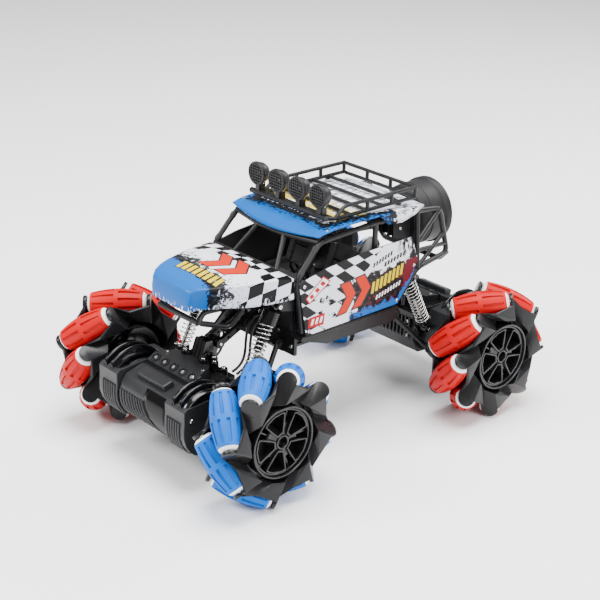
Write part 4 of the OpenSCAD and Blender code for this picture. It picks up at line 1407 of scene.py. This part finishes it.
def make_cabin():
    hard, soft = Shape(), Shape()
    hard.box((-50, -54, 108), (50, 54, 111))
    for s in (1, -1):
        place = shifted(s * 25, 0, 0)
        cushion(soft, place, (-13, -20, 126), (13, 12, 133))
        for e in (1, -1):
            x0, x1 = sorted((e * 10.5, e * 15.8))
            cushion(soft, place, (x0, -21, 125), (x1, 13, 136.5))
        lean = place @ shifted(0, 13, 133) @ turned(-0.35, "X")
        cushion(soft, lean, (-11, -2.5, -2), (11, 3.5, 15.5))
        cushion(soft, lean, (-10, -2.5, 16.5), (10, 3.5, 33))
        for e in (1, -1):
            x0, x1 = sorted((e * 9.3, e * 14.6))
            cushion(soft, lean, (x0, -5, -1), (x1, 3.5, 30))
        cushion(soft, place @ shifted(0, 26.3, 165), (-7.5, -3.5, -1), (7.5, 3.5, 10.6))
        hard.at(place)
        hard.box((-11, -20, 110.5), (11, 12, 126))
        hard.at(lean)
        hard.box((-9, 2.6, -2), (9, 4.4, 32))
        hard.at()
        hard.plate([(-52, 110), (-40, 110), (-40, 142), (-52, 142)], s * 40, s * 46)
    # dashboard with hooded dials, and a steering column on the left
    hard.plate([(-54, 141), (-54, 150), (-50, 152), (-43, 152), (-38.4, 147), (-38.2, 140.5)],
               -48, 48)
    hard.plate([(-48, 151), (-47, 154.6), (-43, 154.6), (-40, 151.5), (-40, 149)], 13, 37)
    for x in (19, 31, -12, -24, -36):
        hard.at(shifted(x, -38.8, 147) @ turned(-0.5, "X"))
        hard.lathe([(3.6, -1), (3.6, 0.7), (3.1, 0.9), (2.9, 0.3), (0.01, 0.3)], 24, 1, "y")
    hard.at(shifted(25, -31.5, 152) @ turned(0.5, "X"))
    ring = [(10.2 * cos(tau * k / 36), 0, 10.2 * sin(tau * k / 36))
            for k in range(36)]
    hard.tube(ring, 1.25, 10, 1, closed=True)
    for a in (90, 210, 330):
        c, s = cos(radians(a)), sin(radians(a))
        hard.tube([(1.5 * c, 0, 1.5 * s), (9.8 * c, 0, 9.8 * s)], 0.95, 8, 1)
    hard.lathe([(0.01, -1.7), (2.4, -1.5), (2.8, 0), (2.2, 1), (1.5, 1.5), (1.5, -8)], 24, 1, "y")
    hard.tube([(0, 0, 0), (0, -8, 0)], 1.5, 12, 1)
    hard.at()
    # gear lever, console and pedals box between the seats
    hard.box((-5, -38, 110.8), (5, 30, 118), 0)
    hard.tube([(0, -16, 117), (0, -18, 130)], 1.1, 10, 1)
    hard.at(shifted(0, -18.2, 131.5))
    hard.lathe([(0.01, -2.4), (1.7, -1.8), (2.4, 0), (1.7, 1.8), (0.01, 2.4)], 20, 1, "z")
    hard.at()
    make("cabin_hard", hard, "cabin_black black_plastic", "car_body",
         ["seats"], bevel=0.6)
    make("cabin_soft", soft, "seat_black", "car_body", soft=True, smooth=180)


NOZZLE_R, NOZZLE_Y, NOZZLE_Z, NOZZLE_LEN = 31.0, 114.0, 163.5, 38.0


def make_nozzle():
    middle = shifted(0, NOZZLE_Y, NOZZLE_Z)
    shape = Shape().at(middle)
    r, length = NOZZLE_R, NOZZLE_LEN
    shape.lathe([(0.01, 0), (r - 9, 0), (r - 8, 0.4), (r - 3.6, 3.4), (r - 3, 4.4), (r - 2.2, 11),
                 (r - 2.0, 12.4), (r - 2.6, 13), (r - 2.6, 14), (r - 1.9, 14.6), (r - 1.6, 29.4),
                 (r - 0.3, 30.6), (r, 31.2), (r, length - 0.8), (r - 0.8, length),
                 (r - 3.4, length), (r - 4.2, length - 0.8), (r - 5, 27), (r - 6.4, 20), (14, 10),
                 (12, 9), (0.01, 9)], 96, 0, "y")
    for k in range(24):
        a = tau * k / 24
        shape.at(middle @ turned(a, "Y"))
        shape.plate([(14, 24), (28, 25.4), (36, 26.6), (36, 27.6), (20, 25.5)], -0.5, 0.5)
        if k % 4 == 0:
            shape.plate([(3, 20), (4.4, 27.6), (30, 29.6), (30, 28.6), (3, 19)], -1.2, 1.2)
    shape.at(middle @ shifted(0, 9, 0))
    shape.lathe([(0.01, 15), (2, 14), (5.5, 8), (7.5, 2), (8.5, -0.6)], 48, 1, "y")
    shape.lathe([(12.2, -0.5), (12.2, 1.6), (11.2, 2.2), (10.4, 1.6), (10.4, -0.5)], 48, 0, "y")
    shape.at()
    shape.box((-12, 91, 153.5), (12, 115, 173.5))
    for x in (-9, 0, 9):
        shape.box((x - 1, 89.6, 151.8), (x + 1, 115, 175.2))
    for s in (1, -1):
        shape.plate([(92, 150), (92, 177), (96, 178.6), (112, 183), (115, 180), (115, 147),
                     (112, 145)], s * 12, s * 13.6)
        for z in (158, 169):
            screw(shape, Matrix(), s * 13.5, 101, z, 1.7, s, 2)
    make("nozzle_shell", shape, "nozzle_black black_plastic steel black_plastic", "car_body",
         ["nozzle"], bevel=0.4)


# ---------- chassis details ----------

def make_chassis_details():
    """Ribs, side skirts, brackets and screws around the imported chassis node."""
    shape = Shape()
    for s in (1, -1):
        # ribs and struts on the side of the tub, under the deck
        for y in range(-48, 49, 12):
            shape.plate([(y - 0.7, 89.4), (y + 0.7, 89.4), (y + 0.7, 101), (y - 0.7, 101)],
                        s * 35.6, s * 37.2)
        shape.plate([(-50, 88.6), (50, 88.6), (50, 91), (-50, 91)], s * 35.6, s * 37.8)
        for y in (-22, 6, 34):
            shape.tube([(s * 36.5, y, 91), (s * 55, y + 4, 98)], 1.9, 10)
        # upright brackets that hold the coil-overs
        for e in ENDS:
            shape.at(at_end(e))
            for x0, x1 in ((26, 28.4), (46.6, 49)):
                shape.plate([(-60.4, 112), (-56.6, 110), (-56.6, 141.5), (-60.4, 139)],
                            s * x0, s * x1)
            shape.tube([(s * 8, -58.4, 131), (s * 26, -58.4, 138.5)], 1.6, 10)
            shape.tube([(s * 8, -58.4, 137), (s * 26, -58.4, 128)], 1.6, 10)
            shape.at()
        # sill lip below the door
        shape.tube([(s * 58.2, -54, 106.6), (s * 58.2, 52, 106.6), (s * 58.4, 56, 102)], 1.1, 10)
    make("chassis_ribs", shape, "black_plastic", "car_body", bevel=0.3)
    small = Shape()
    for s in (1, -1):
        for y, z in ((-50.2, 112.8), (53.4, 114.3), (72.9, 143.0), (-56.6, 154.5)):
            screw(small, Matrix(), s * 60, y, z, 1.6, s)
        screw(small, Matrix(), s * 54.5, -28, 196, 1.5)
        screw(small, Matrix(), s * 57.6, 48, 190, 1.5, s)
        for e in ENDS:
            place = at_end(e)
            for x, z in ((46, 122), (46, 96), (20, 124), (12, 92), (30, 106)):
                screw(small, place, s * x, -57.2, z, 1.7, "-y")
            screw(small, place, s * (SHOCK_X + 7), SHOCK_TOP.x, SHOCK_TOP.y, 2.0, s)
            screw(small, place, s * 9.6, -62, 118, 1.8, s)
        for x, y in ((30, -50), (30, 50), (30, 0)):
            screw(small, Matrix(), s * x, y, 88, 1.8, "-z")
    make("body_screws", small, "steel black_plastic", "car_body", smooth=30)


# ---------- everything together ----------

set_camera()
LOOKS = make_looks()
set_stage()
SLEEVES = make_sleeves()
for CORNER in CORNERS:
    make_wheel(CORNER, SLEEVES)
for END in ENDS:
    make_axle(END)
    make_shocks(END)
make_leads()
dress_nodes()
make_shells()
make_cage()
make_rack()
make_cabin()
make_nozzle()
make_chassis_details()
